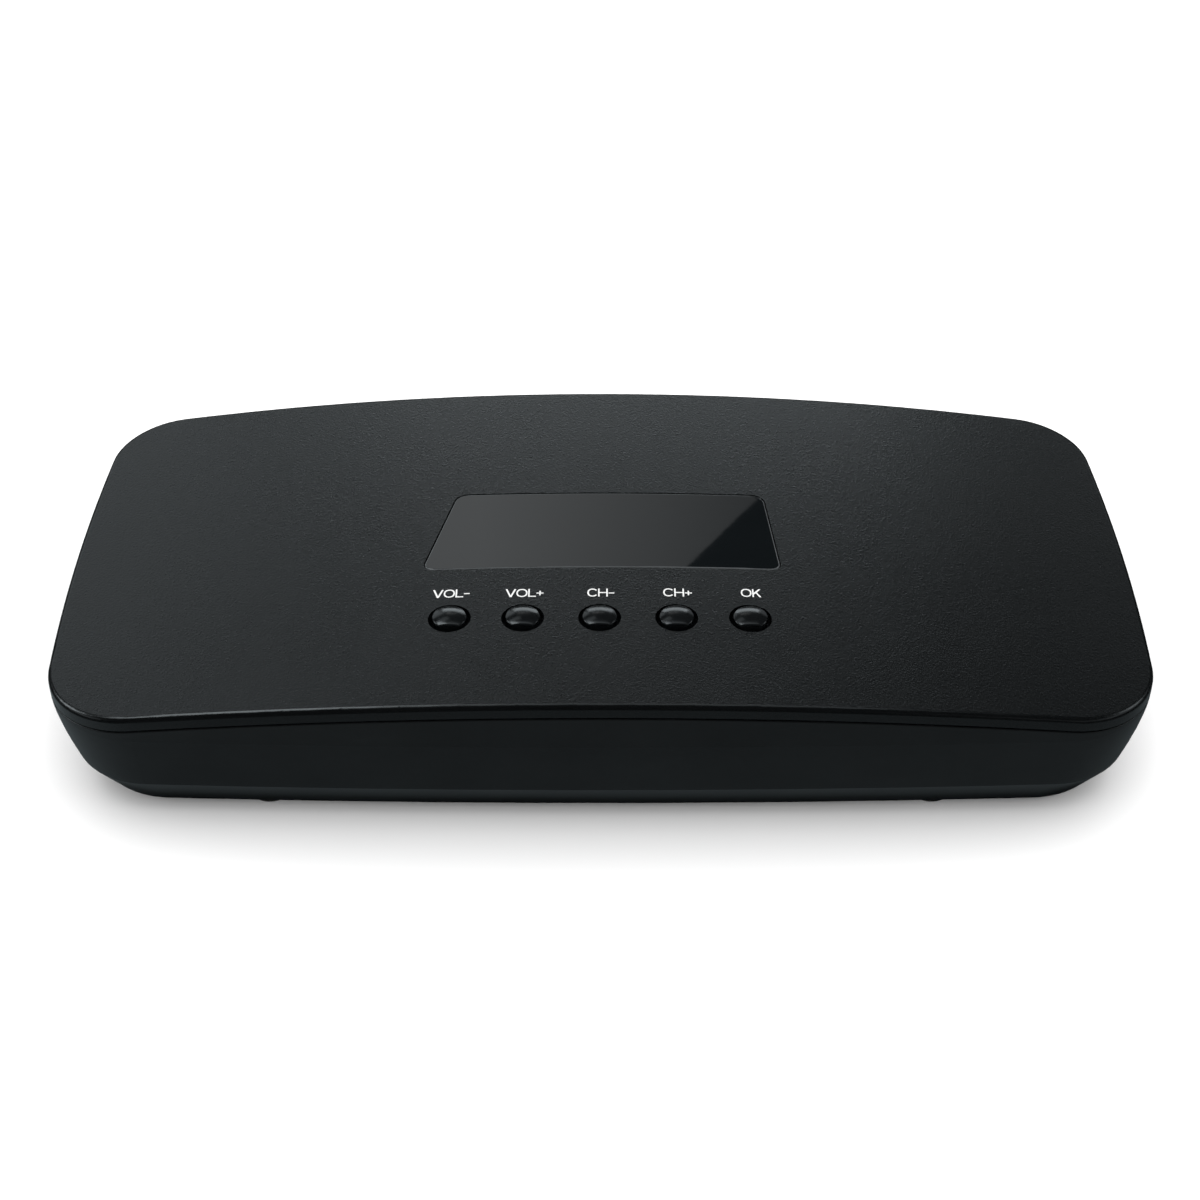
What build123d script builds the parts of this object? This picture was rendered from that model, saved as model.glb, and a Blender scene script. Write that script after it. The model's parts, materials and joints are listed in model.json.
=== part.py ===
from build123d import *
import math
import os

os.makedirs("parts", exist_ok=True)

# A small set-top satellite receiver: a crowned top cover over a tapered lower
# case, a display window and five push-buttons on top, sockets on the back.
# Millimetres, +Z up, Z = 0 on the surface under the feet, -Y is the front.

# ------------------------------------------------------------ casing, in plan
half_w = 110.0          # half width at the middle of the sides
half_d = 53.5           # half depth at the middle of the front and back
side_bulge = 2.86       # how far each side bows out
front_bulge = 2.55      # how far the front bows out
rear_bulge = 2.88       # how far the back bows out
r_front = 19.95         # front corner radius of the cover
r_rear = 15.1           # rear corner radius of the cover

# --------------------------------------------------------- casing, in height
crest = 34.0            # highest point of the cover, along its middle
crown = 7.4             # drop of the cover from its middle to its sides
rim = 3.15              # height of the cover's edge, crest to parting line
edge_r = 0.95           # round along the cover's top edge
part_gap = 0.3          # joint between cover and lower case
cover_t = 2.2           # plate thickness of the cover
wall_top_z = crest - rim - crown    # below this the case wall starts to taper
crease_z = 9.4          # the wall's lower edge, where the base chamfer starts
base_z = 2.0            # underside of the lower case
crease_inset, r_crease_front, r_crease_rear = 3.0, 17.0, 12.6
base_inset, r_base_front, r_base_rear = 6.8, 16.6, 11.5
base_r = 1.0            # round along the lower edge of the case
wall = 2.0
floor_z = base_z + 2.0

# ------------------------------------------------------------- rear end stack
panel_t = 1.2           # rear panel sheet
panel_y = 43.7          # its inner face, measured from the casing's middle
panel_out = panel_y + panel_t
socket_tip = 57.0       # end of the longest socket
case_y = (half_d - socket_tip) / 2  # casing's middle, so the whole is centred

# ----------------------------------------------------------- window, buttons
window_corners = [(-36.65, -11.15), (37.0, -11.0), (34.6, 14.85), (-30.45, 14.85)]
window_r_front, window_r_rear = 2.1, 3.0
lens_t = 1.2
lens_gap = 0.18
adhesive_t = 0.15
adhesive_w = 1.4
button_names = ["vol_down", "vol_up", "ch_down", "ch_up", "ok"]
button_x = [-29.9, -15.4, -0.2, 15.0, 29.6]
button_row_y, button_row_sag = -27.1, 0.38      # the row follows a slight arc
hole_r = 4.24
cap_r = 3.42
cap_flat = 2.8          # front flat of the cap, from its axis
cap_rise = 0.45         # the cap's edge above the cover
cap_dome = 0.62         # the dome above that edge
flange_r = 4.95
button_travel = 0.5

# --------------------------------------------------------------- circuit boards
board_t = 1.6
main_z = 9.0            # underside of the main board
main_top = main_z + board_t
control_top = 22.0      # top of the control board, under the cover
switch_h = 3.5          # body of a button's switch
plunger_h = 5.0         # top of its plunger, above the board

# --------------------------------------------------- columns, screws and feet
column_xy = [(-88.0, -34.0), (88.0, -34.0), (-88.0, 31.0), (88.0, 31.0)]
standoff_xy = [(-68.0, -20.0), (68.0, -20.0), (-68.0, 24.0), (32.0, 24.0)]
control_boss_xy = [(-44.0, -31.0), (44.0, -31.0), (-44.0, 14.0), (44.0, 14.0)]
foot_xy = [(-66.5, -39.6), (66.5, -39.6), (-66.5, 35.0), (66.5, 35.0)]
column_top = 13.0
foot_r = 4.7

# ------------------------------------------------------------ rear sockets (x)
lnb_x, loop_x = 66.0, 48.0
usb_x, hdmi_x = 27.0, 7.0
av_x = [-11.0, -25.0, -39.0]
dc_x = -53.5
switch_x = -68.0
f_z, av_z, dc_z, usb_z, hdmi_z, rocker_z = 17.1, 17.0, 16.1, 14.2, 13.9, 18.2

casing = Plane(origin=(0, case_y, 0))


def rear_plane(y):
    """A plane facing backwards; its x runs to the left of the casing."""
    return Plane(origin=(0, case_y + y, 0), x_dir=(-1, 0, 0), z_dir=(0, 1, 0))


def crown_z(x, top):
    """Height at x of the crowned surface whose middle is at top."""
    radius = (half_w**2 + crown**2) / (2 * crown)
    return top - radius + math.sqrt(radius**2 - x**2)


def draw_crown_band(low, high):
    """Closed profile between two crowned lines; low may be a flat level."""
    w = half_w + 4
    ThreePointArc((-w, crown_z(w, high)), (0, high), (w, crown_z(w, high)))
    if low < wall_top_z - 8:
        Polyline((w, crown_z(w, high)), (w, low), (-w, low), (-w, crown_z(w, high)))
    else:
        Line((w, crown_z(w, high)), (w, crown_z(w, low)))
        ThreePointArc((w, crown_z(w, low)), (0, low), (-w, crown_z(w, low)))
        Line((-w, crown_z(w, low)), (-w, crown_z(w, high)))


def draw_outline(inset, corner_front, corner_rear):
    """Plan outline of the casing: four wide arcs joined by four corner arcs."""
    side_r = (half_d**2 + side_bulge**2) / (2 * side_bulge)
    front_r = (half_w**2 + front_bulge**2) / (2 * front_bulge)
    rear_r = (half_w**2 + rear_bulge**2) / (2 * rear_bulge)
    side_c = (half_w - side_r, 0.0)
    front_c = (0.0, front_r - half_d)
    rear_c = (0.0, half_d - rear_r)
    side_r, front_r, rear_r = side_r - inset, front_r - inset, rear_r - inset

    def corner(c0, r0, c1, r1, up):
        dx, dy = c1[0] - c0[0], c1[1] - c0[1]
        d = math.hypot(dx, dy)
        a = (r0**2 - r1**2 + d**2) / (2 * d)
        h = math.sqrt(r0**2 - a**2)
        found = [
            (c0[0] + (a * dx - s * h * dy) / d, c0[1] + (a * dy + s * h * dx) / d)
            for s in (1, -1)
        ]
        return max(found, key=lambda p: p[0] + up * p[1])

    def on(c, r, a):
        return (c[0] + r * math.cos(a), c[1] + r * math.sin(a))

    def angle(c, p):
        return math.atan2(p[1] - c[1], p[0] - c[0])

    fc = corner(side_c, side_r - corner_front, front_c, front_r - corner_front, -1)
    rc = corner(side_c, side_r - corner_rear, rear_c, rear_r - corner_rear, 1)
    a1, a2 = angle(front_c, fc), angle(side_c, fc)
    a3, a4 = angle(side_c, rc), angle(rear_c, rc)
    t1, t2 = on(front_c, front_r, a1), on(side_c, side_r, a2)
    t3, t4 = on(side_c, side_r, a3), on(rear_c, rear_r, a4)
    m1, m2 = on(fc, corner_front, (a1 + a2) / 2), on(rc, corner_rear, (a3 + a4) / 2)

    def left(p):
        return (-p[0], p[1])

    ThreePointArc(left(t1), (0, front_c[1] - front_r), t1)
    ThreePointArc(t1, m1, t2)
    ThreePointArc(t2, (side_c[0] + side_r, 0), t3)
    ThreePointArc(t3, m2, t4)
    ThreePointArc(t4, (0, rear_c[1] + rear_r), left(t4))
    ThreePointArc(left(t4), left(m2), left(t3))
    ThreePointArc(left(t3), (-side_c[0] - side_r, 0), left(t2))
    ThreePointArc(left(t2), left(m1), left(t1))


def button_y(x):
    return button_row_y + button_row_sag * (x / 30.0) ** 2


# =================================================================== the cover
# The space under the cover's plate, inside its edge.
with BuildPart() as cover_void:
    with BuildSketch(casing.offset(5)):
        with BuildLine():
            draw_outline(3.35, r_front - 3.35, r_rear - 3.35)
        make_face()
    extrude(amount=35)
    with BuildSketch(Plane.XZ):
        with BuildLine():
            draw_crown_band(0, crest - cover_t)
        make_face()
    extrude(amount=90, both=True, mode=Mode.INTERSECT)

# A lip that drops inside the lower case's wall, along the front and sides.
with BuildPart() as cover_lip:
    with BuildSketch(casing.offset(5)):
        with BuildLine():
            draw_outline(wall + 0.15, r_front - wall, r_rear - wall)
        make_face()
        with BuildLine():
            draw_outline(3.35, r_front - 3.35, r_rear - 3.35)
        make_face(mode=Mode.SUBTRACT)
    extrude(amount=35)
    with BuildSketch(Plane.XZ):
        with BuildLine():
            draw_crown_band(crest - rim - 1.8, crest - rim + 0.8)
        make_face()
    extrude(amount=90, both=True, mode=Mode.INTERSECT)
    with BuildSketch(casing.offset(5)):
        with Locations((0, 55)):
            Rectangle(170, 34)
    extrude(amount=35, mode=Mode.SUBTRACT)

# Screw columns and the control board's bosses hang from the plate.
with BuildPart() as cover_bosses:
    with BuildSketch(casing.offset(column_top + 0.1)):
        with Locations(*column_xy):
            Circle(3.25)
    extrude(amount=25)
    with BuildSketch(casing.offset(control_top)):
        with Locations(*control_boss_xy):
            Circle(2.4)
    extrude(amount=16)
    with BuildSketch(Plane.XZ):
        with BuildLine():
            draw_crown_band(0, crest - 1.2)
        make_face()
    extrude(amount=90, both=True, mode=Mode.INTERSECT)

# The shallow seat that the window lies in.
with BuildPart() as window_seat:
    with BuildSketch(casing.offset(22)):
        with BuildLine():
            Polyline(*window_corners, close=True)
        make_face()
    extrude(amount=20)
    fillet(window_seat.edges().filter_by(Axis.Z).sort_by(Axis.Y)[:2], window_r_front)
    fillet(window_seat.edges().filter_by(Axis.Z).sort_by(Axis.Y)[-2:], window_r_rear)
    with BuildSketch(Plane.XZ):
        with BuildLine():
            draw_crown_band(crest - lens_t - adhesive_t, crest + 3)
        make_face()
    extrude(amount=90, both=True, mode=Mode.INTERSECT)

with BuildPart() as top_cover:
    with BuildSketch(casing.offset(15)):
        with BuildLine():
            draw_outline(0, r_front, r_rear)
        make_face()
    extrude(amount=25)
    with BuildSketch(Plane.XZ):
        with BuildLine():
            draw_crown_band(crest - rim + part_gap / 2, crest)
        make_face()
    extrude(amount=90, both=True, mode=Mode.INTERSECT)
    upper = top_cover.faces().sort_by(SortBy.AREA)[-2:].sort_by(Axis.Z)[-1]
    fillet(upper.edges(), edge_r)
    underside = top_cover.faces().sort_by(SortBy.AREA)[-2:].sort_by(Axis.Z)[0]
    fillet(underside.edges(), 0.2)
    add(cover_void.part, mode=Mode.SUBTRACT)
    add(cover_lip.part)
    add(cover_bosses.part)
    add(window_seat.part, mode=Mode.SUBTRACT)
    # opening through the window's seat, leaving a ledge all round
    with BuildSketch(casing.offset(25)):
        with BuildLine():
            Polyline(*window_corners, close=True)
        make_face()
        offset(amount=-adhesive_w, mode=Mode.REPLACE)
    extrude(amount=12, mode=Mode.SUBTRACT)
    # holes that the five buttons stand in
    with BuildSketch(casing.offset(25)):
        with Locations(*[(x, button_y(x)) for x in button_x]):
            Circle(hole_r)
    extrude(amount=12, mode=Mode.SUBTRACT)
    # pilot holes up the screw columns and the control board's bosses
    with BuildSketch(casing.offset(column_top)):
        with Locations(*column_xy):
            Circle(1.5)
    extrude(amount=9, mode=Mode.SUBTRACT)
    with BuildSketch(casing.offset(control_top - 0.1)):
        with Locations(*control_boss_xy):
            Circle(0.9)
    extrude(amount=5, mode=Mode.SUBTRACT)
top_cover.part.label = "top_cover"
export_step(top_cover.part, "parts/top_cover.step")

# ============================================================ the lower case
# Inside of the lower case, which stops short of the rear panel's frame.
with BuildPart() as case_void:
    with BuildSketch(casing.offset(floor_z)):
        with BuildLine():
            draw_outline(base_inset + 0.9, r_base_front - 1, r_base_rear - 1)
        make_face()
    with BuildSketch(casing.offset(crease_z + 0.6)):
        with BuildLine():
            draw_outline(crease_inset + 1.9, r_crease_front - 2, r_crease_rear - 2)
        make_face()
    with BuildSketch(casing.offset(wall_top_z - 2.5)):
        with BuildLine():
            draw_outline(wall, r_front - wall, r_rear - wall)
        make_face()
    loft(ruled=True)
    with BuildSketch(casing.offset(wall_top_z - 2.5)):
        with BuildLine():
            draw_outline(wall, r_front - wall, r_rear - wall)
        make_face()
    extrude(amount=18)
    with BuildSketch(casing):
        with Locations((0, panel_y - 1.6 + 20)):
            Rectangle(162, 40)
    extrude(amount=45, mode=Mode.SUBTRACT)

# Outside of the lower case: a straight band, a curved taper, a base chamfer.
with BuildPart() as bottom_case:
    with BuildSketch(casing.offset(wall_top_z)):
        with BuildLine():
            draw_outline(0, r_front, r_rear)
        make_face()
    extrude(amount=12)
    for t in (0.0, 0.2, 0.4, 0.6, 0.8, 1.0):
        with BuildSketch(casing.offset(wall_top_z + (crease_z - wall_top_z) * t)):
            with BuildLine():
                draw_outline(
                    crease_inset * t**1.3,
                    r_front + (r_crease_front - r_front) * t,
                    r_rear + (r_crease_rear - r_rear) * t,
                )
            make_face()
    loft()
    with BuildSketch(casing.offset(crease_z)):
        with BuildLine():
            draw_outline(crease_inset, r_crease_front, r_crease_rear)
        make_face()
    with BuildSketch(casing.offset(base_z)):
        with BuildLine():
            draw_outline(base_inset, r_base_front, r_base_rear)
        make_face()
    loft(ruled=True)
    lower_edges = bottom_case.edges().filter_by_position(Axis.Z, base_z - 0.01, base_z + 0.01)
    fillet(lower_edges, base_r)
    with BuildSketch(Plane.XZ):
        with BuildLine():
            draw_crown_band(0, crest - rim - part_gap / 2)
        make_face()
    extrude(amount=90, both=True, mode=Mode.INTERSECT)
    mouth = bottom_case.faces().sort_by(SortBy.AREA)[-2:].sort_by(Axis.Z)[-1]
    fillet(mouth.edges(), 0.2)
    add(case_void.part, mode=Mode.SUBTRACT)
    # columns for the case screws and standoffs for the main board
    with BuildSketch(casing.offset(base_z + 0.5)):
        with Locations(*column_xy):
            Circle(4.5)
    extrude(amount=column_top - base_z - 0.5)
    with BuildSketch(casing.offset(floor_z - 0.5)):
        with Locations(*standoff_xy):
            Circle(2.8)
    extrude(amount=main_z - floor_z + 0.5)
    # the recess at the back, the groove for the rear panel and its opening
    with BuildSketch(casing.offset(7.5)):
        with Locations((0, panel_out + 1.6 + 15)):
            Rectangle(159, 30)
    extrude(amount=30, mode=Mode.SUBTRACT)
    with BuildSketch(casing.offset(6.5)):
        with Locations((0, panel_y + panel_t / 2)):
            Rectangle(156, panel_t + 0.2)
    extrude(amount=30, mode=Mode.SUBTRACT)
    with BuildSketch(casing.offset(main_z - 0.4)):
        with Locations((0, panel_y + panel_t / 2)):
            Rectangle(152, 12)
    extrude(amount=30, mode=Mode.SUBTRACT)
    # counterbores and clearance holes for the case screws
    with BuildSketch(casing):
        with Locations(*column_xy):
            Circle(3.1)
    extrude(amount=9, mode=Mode.SUBTRACT)
    with BuildSketch(casing):
        with Locations(*column_xy):
            Circle(1.6)
    extrude(amount=15, mode=Mode.SUBTRACT)
    with BuildSketch(casing.offset(floor_z)):
        with Locations(*standoff_xy):
            Circle(1.05)
    extrude(amount=10, mode=Mode.SUBTRACT)
    # seats for the feet, vents, and the bare recess of a rating plate
    with BuildSketch(casing):
        with Locations(*foot_xy):
            Circle(foot_r + 0.1)
    extrude(amount=base_z + 0.5, mode=Mode.SUBTRACT)
    with BuildSketch(casing):
        for x in (-45, 45):
            with Locations((x, 2)):
                with GridLocations(5, 36, 7, 2):
                    SlotOverall(26, 2.4, rotation=90)
    extrude(amount=10, mode=Mode.SUBTRACT)
    with BuildSketch(casing):
        with Locations((0, 2)):
            RectangleRounded(48, 30, 1.5)
    extrude(amount=base_z + 0.3, mode=Mode.SUBTRACT)
bottom_case.part.label = "bottom_case"
export_step(bottom_case.part, "parts/bottom_case.step")

# ================================================================ rear panel
with BuildPart() as rear_panel:
    with BuildSketch(rear_plane(panel_y + 0.1)):
        with Locations((0, 16)):
            Rectangle(155.6, 18.8)
        with Locations((0, 22)):
            Rectangle(151.6, 24)
    extrude(amount=panel_t)
    with BuildSketch(Plane.XZ):
        with BuildLine():
            draw_crown_band(0, crest - cover_t - 0.25)
        make_face()
    extrude(amount=90, both=True, mode=Mode.INTERSECT)
    with BuildSketch(rear_plane(panel_y - 1)):
        with Locations((-lnb_x, f_z), (-loop_x, f_z)):
            Circle(5.0)
        with Locations((-usb_x, usb_z)):
            Rectangle(13.7, 6.3)
        with Locations((-hdmi_x, hdmi_z)):
            Rectangle(15.5, 6.6)
        with Locations(*[(-x, av_z) for x in av_x]):
            Circle(5.4)
        with Locations((-dc_x, dc_z)):
            Circle(4.3)
        with Locations((-switch_x, rocker_z)):
            Rectangle(9.2, 14.2)
    extrude(amount=4, mode=Mode.SUBTRACT)
    # row of small air slots above the flat sockets
    with BuildSketch(rear_plane(panel_y - 1)):
        with Locations((-17, 24.6)):
            with GridLocations(3.4, 0, 10, 1):
                SlotOverall(4.4, 1.6, rotation=90)
    extrude(amount=4, mode=Mode.SUBTRACT)
rear_panel.part.label = "rear_panel"
export_step(rear_panel.part, "parts/rear_panel.step")

# ==================================================================== window
with BuildPart() as display_window:
    with BuildSketch(casing.offset(22)):
        with BuildLine():
            Polyline(*window_corners, close=True)
        make_face()
        offset(amount=-lens_gap, mode=Mode.REPLACE)
    extrude(amount=20)
    fillet(display_window.edges().filter_by(Axis.Z).sort_by(Axis.Y)[:2], window_r_front - lens_gap)
    fillet(display_window.edges().filter_by(Axis.Z).sort_by(Axis.Y)[-2:], window_r_rear - lens_gap)
    with BuildSketch(Plane.XZ):
        with BuildLine():
            draw_crown_band(crest - lens_t, crest)
        make_face()
    extrude(amount=90, both=True, mode=Mode.INTERSECT)
    lens_face = display_window.faces().sort_by(SortBy.AREA)[-2:].sort_by(Axis.Z)[-1]
    fillet(lens_face.edges(), 0.32)
display_window.part.label = "display_window"
export_step(display_window.part, "parts/display_window.step")

with BuildPart() as window_adhesive:
    with BuildSketch(casing.offset(22)):
        with BuildLine():
            Polyline(*window_corners, close=True)
        make_face()
        offset(amount=-lens_gap - 0.1, kind=Kind.INTERSECTION, mode=Mode.REPLACE)
    extrude(amount=20)
    fillet(window_adhesive.edges().filter_by(Axis.Z).sort_by(Axis.Y)[:2], window_r_front - lens_gap)
    fillet(window_adhesive.edges().filter_by(Axis.Z).sort_by(Axis.Y)[-2:], window_r_rear - lens_gap)
    with BuildSketch(casing.offset(22)):
        with BuildLine():
            Polyline(*window_corners, close=True)
        make_face()
        offset(amount=-adhesive_w, kind=Kind.INTERSECTION, mode=Mode.REPLACE)
    extrude(amount=20, mode=Mode.SUBTRACT)
    with BuildSketch(Plane.XZ):
        with BuildLine():
            draw_crown_band(crest - lens_t - adhesive_t, crest - lens_t)
        make_face()
    extrude(amount=90, both=True, mode=Mode.INTERSECT)
window_adhesive.part.label = "window_adhesive"
export_step(window_adhesive.part, "parts/window_adhesive.step")

# =================================================================== buttons
# Each button is a domed cap with a flat on its front side, on a flange that
# the cover holds down, and a stem that stands on its switch's plunger.
for name, x in zip(button_names, button_x):
    y = button_y(x)
    edge_z = crown_z(x, crest) + cap_rise
    flange_z = crown_z(abs(x) + flange_r, crest - cover_t) - 0.2
    axis = Plane(origin=(x, case_y + y, 0), x_dir=(1, 0, 0), z_dir=(0, -1, 0))
    with BuildPart() as button:
        with BuildSketch(axis):
            with BuildLine():
                Polyline((0, edge_z + cap_dome), (0, flange_z - 0.5), (cap_r, flange_z - 0.5), (cap_r, edge_z))
                ThreePointArc(
                    (cap_r, edge_z),
                    (cap_r / 2, edge_z + cap_dome * 0.76),
                    (0, edge_z + cap_dome),
                )
            make_face()
        revolve(axis=Axis((x, case_y + y, 0), (0, 0, 1)))
        with BuildSketch(casing.offset(flange_z)):
            with Locations((x, y - cap_flat - 5)):
                Rectangle(12, 10)
        extrude(amount=8, mode=Mode.SUBTRACT)
        rim_edges = button.edges().filter_by(
            lambda e: e.center().Z > edge_z - 0.3 and e.length > 1.5
        )
        fillet(rim_edges, 0.28)
        with BuildSketch(casing.offset(flange_z - 1.0)):
            with Locations((x, y)):
                Circle(flange_r)
        extrude(amount=1.0)
        with BuildSketch(casing.offset(control_top + plunger_h)):
            with Locations((x, y)):
                Circle(1.9)
        extrude(amount=flange_z - 1.0 - control_top - plunger_h)
    button.part.label = "button_" + name
    export_step(button.part, "parts/button_" + name + ".step")
    with BuildPart() as plunger:
        with BuildSketch(casing.offset(control_top + switch_h - 1.2)):
            with Locations((x, y)):
                Circle(1.7)
        extrude(amount=plunger_h - switch_h + 1.2)
        chamfer(plunger.edges().sort_by(Axis.Z)[-1], 0.2)
    plunger.part.label = "plunger_" + name
    export_step(plunger.part, "parts/plunger_" + name + ".step")
    print(name, "flange", round(flange_z, 2), "volume", round(button.part.volume, 1))

# ============================================================= control board
with BuildPart() as control_board:
    with BuildSketch(casing.offset(control_top - board_t)):
        with Locations((0, -8.5)):
            RectangleRounded(97, 54, 1.5)
        with Locations(*control_boss_xy):
            Circle(1.1, mode=Mode.SUBTRACT)
    extrude(amount=board_t)
control_board.part.label = "control_board"
export_step(control_board.part, "parts/control_board.step")

with BuildPart() as control_board_screws:
    with BuildSketch(casing.offset(control_top - board_t - 1.3)):
        with Locations(*control_boss_xy):
            Circle(1.8)
    extrude(amount=1.3)
    with BuildSketch(casing.offset(control_top - board_t)):
        with Locations(*control_boss_xy):
            Circle(0.85)
    extrude(amount=5.5)
    with BuildSketch(casing.offset(control_top - board_t - 1.3)):
        with Locations(*control_boss_xy):
            Rectangle(2.2, 0.5)
            Rectangle(0.5, 2.2)
    extrude(amount=0.7, mode=Mode.SUBTRACT)
control_board_screws.part.label = "control_board_screws"
export_step(control_board_screws.part, "parts/control_board_screws.step")

with BuildPart() as switch_housings:
    with BuildSketch(casing.offset(control_top)):
        with Locations(*[(x, button_y(x)) for x in button_x]):
            RectangleRounded(6, 6, 0.4)
    extrude(amount=switch_h)
    with BuildSketch(casing.offset(control_top + 1.6)):
        with Locations(*[(x, button_y(x)) for x in button_x]):
            Circle(1.76)
    extrude(amount=switch_h, mode=Mode.SUBTRACT)
switch_housings.part.label = "switch_housings"
export_step(switch_housings.part, "parts/switch_housings.step")

display_at = (0.8, 2.4)
with BuildPart() as display_module:
    with BuildSketch(casing.offset(control_top)):
        with Locations(display_at):
            Rectangle(50.3, 19)
    extrude(amount=7.6)
    chamfer(display_module.faces().sort_by(Axis.Z)[-1].edges(), 0.4)
display_module.part.label = "display_module"
export_step(display_module.part, "parts/display_module.step")

# four seven-segment digits and a colon on the module's face
with BuildPart() as display_segments:
    with BuildSketch(casing.offset(control_top + 7.6)):
        for dx in (-17.5, -6.3, 7.9, 19.1):
            with Locations((display_at[0] + dx, display_at[1])):
                with GridLocations(0, 6.2, 1, 3):
                    SlotOverall(4.6, 1.1)
                with GridLocations(5.8, 6.2, 2, 2):
                    SlotOverall(4.6, 1.1, rotation=90)
        with Locations((display_at[0] + 0.8, display_at[1])):
            with GridLocations(0, 4.6, 1, 2):
                Circle(0.7)
    extrude(amount=0.2)
display_segments.part.label = "display_segments"
export_step(display_segments.part, "parts/display_segments.step")

with BuildPart() as ir_receiver:
    with BuildSketch(casing.offset(control_top)):
        with Locations((31.2, 2.4)):
            Rectangle(5.2, 5.4)
    extrude(amount=6.2)
    with BuildSketch(casing.offset(control_top + 6.2)):
        with Locations((31.2, 2.4)):
            Circle(2.0)
    extrude(amount=1.0, taper=25)
ir_receiver.part.label = "ir_receiver"
export_step(ir_receiver.part, "parts/ir_receiver.step")

with BuildPart() as status_led:
    with BuildSketch(Plane(origin=(-28.8, case_y + 2.4, 0), x_dir=(1, 0, 0), z_dir=(0, -1, 0))):
        with BuildLine():
            Polyline((0, control_top + 6.8), (0, control_top), (1.9, control_top), (1.9, control_top + 1.0), (1.5, control_top + 1.0), (1.5, control_top + 5.3))
            RadiusArc((1.5, control_top + 5.3), (0, control_top + 6.8), -1.5)
        make_face()
    revolve(axis=Axis((-28.8, case_y + 2.4, 0), (0, 0, 1)))
status_led.part.label = "status_led"
export_step(status_led.part, "parts/status_led.step")

# ribbon between the two boards, with the two connectors it plugs into
ribbon_x, ribbon_y = -24.0, -14.0
low_z, high_z = main_top + 1.6, control_top - board_t - 1.6
with BuildPart() as ribbon_connectors:
    with BuildSketch(casing.offset(main_top)):
        with Locations((ribbon_x, ribbon_y)):
            Rectangle(22, 5)
    extrude(amount=3.0)
    with BuildSketch(casing.offset(control_top - board_t - 3.0)):
        with Locations((ribbon_x, ribbon_y)):
            Rectangle(22, 5)
    extrude(amount=3.0)
ribbon_connectors.part.label = "ribbon_connectors"
export_step(ribbon_connectors.part, "parts/ribbon_connectors.step")

bend_r = (high_z - low_z) / 2
with BuildPart() as ribbon_cable:
    mid_z = (high_z + low_z) / 2
    with BuildSketch(Plane(origin=(ribbon_x, case_y + ribbon_y - 2.5, 0), x_dir=(0, 1, 0), z_dir=(1, 0, 0))):
        with BuildLine():
            Line((0, high_z + 0.15), (-5, high_z + 0.15))
            ThreePointArc((-5, high_z + 0.15), (-5 - bend_r - 0.15, mid_z), (-5, low_z - 0.15))
            Polyline((-5, low_z - 0.15), (0, low_z - 0.15), (0, low_z + 0.15), (-5, low_z + 0.15))
            ThreePointArc((-5, low_z + 0.15), (-5 - bend_r + 0.15, mid_z), (-5, high_z - 0.15))
            Polyline((-5, high_z - 0.15), (0, high_z - 0.15), (0, high_z + 0.15))
        make_face()
    extrude(amount=9.5, both=True)
ribbon_cable.part.label = "ribbon_cable"
export_step(ribbon_cable.part, "parts/ribbon_cable.step")

# ================================================================ main board
with BuildPart() as main_board:
    with BuildSketch(casing.offset(main_z)):
        with Locations((0, 7.8)):
            RectangleRounded(150, 67.6, 1.5)
        with Locations(*standoff_xy):
            Circle(1.3, mode=Mode.SUBTRACT)
    extrude(amount=board_t)
main_board.part.label = "main_board"
export_step(main_board.part, "parts/main_board.step")

with BuildPart() as board_screws:
    with BuildSketch(casing.offset(main_top)):
        with Locations(*standoff_xy):
            Circle(2.3)
    extrude(amount=1.6)
    with BuildSketch(casing.offset(main_top)):
        with Locations(*standoff_xy):
            Circle(1.0)
    extrude(amount=-6)
    with BuildSketch(casing.offset(main_top + 0.8)):
        with Locations(*standoff_xy):
            Rectangle(2.6, 0.6)
            Rectangle(0.6, 2.6)
    extrude(amount=2, mode=Mode.SUBTRACT)
board_screws.part.label = "board_screws"
export_step(board_screws.part, "parts/board_screws.step")

with BuildPart() as case_screws:
    with BuildSketch(casing.offset(7.1)):
        with Locations(*column_xy):
            Circle(2.8)
    extrude(amount=1.9)
    with BuildSketch(casing.offset(9.0)):
        with Locations(*column_xy):
            Circle(1.45)
    extrude(amount=12)
    chamfer(case_screws.faces().sort_by(Axis.Z)[:4].edges(), 0.4)
    with BuildSketch(casing.offset(7.0)):
        with Locations(*column_xy):
            Rectangle(3.4, 0.75)
            Rectangle(0.75, 3.4)
    extrude(amount=1.3, mode=Mode.SUBTRACT)
case_screws.part.label = "case_screws"
export_step(case_screws.part, "parts/case_screws.step")

with BuildPart() as rubber_feet:
    with BuildSketch(casing):
        with Locations(*foot_xy):
            Circle(foot_r)
    extrude(amount=base_z + 0.5)
    fillet(rubber_feet.faces().sort_by(Axis.Z)[:4].edges(), 0.5)
rubber_feet.part.label = "rubber_feet"
export_step(rubber_feet.part, "parts/rubber_feet.step")

with BuildPart() as main_processor:
    with BuildSketch(casing.offset(main_top)):
        with Locations((6, -2)):
            Rectangle(19, 19)
    extrude(amount=1.4)
main_processor.part.label = "main_processor"
export_step(main_processor.part, "parts/main_processor.step")

with BuildPart() as heatsink:
    with BuildSketch(casing.offset(main_top + 1.4)):
        with Locations((6, -2)):
            Rectangle(22, 22)
    extrude(amount=1.5)
    with BuildSketch(casing.offset(main_top + 2.9)):
        with Locations((6, -2)):
            with GridLocations(2.9, 0, 8, 1):
                Rectangle(1.0, 22)
    extrude(amount=3.6)
heatsink.part.label = "heatsink"
export_step(heatsink.part, "parts/heatsink.step")

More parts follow.
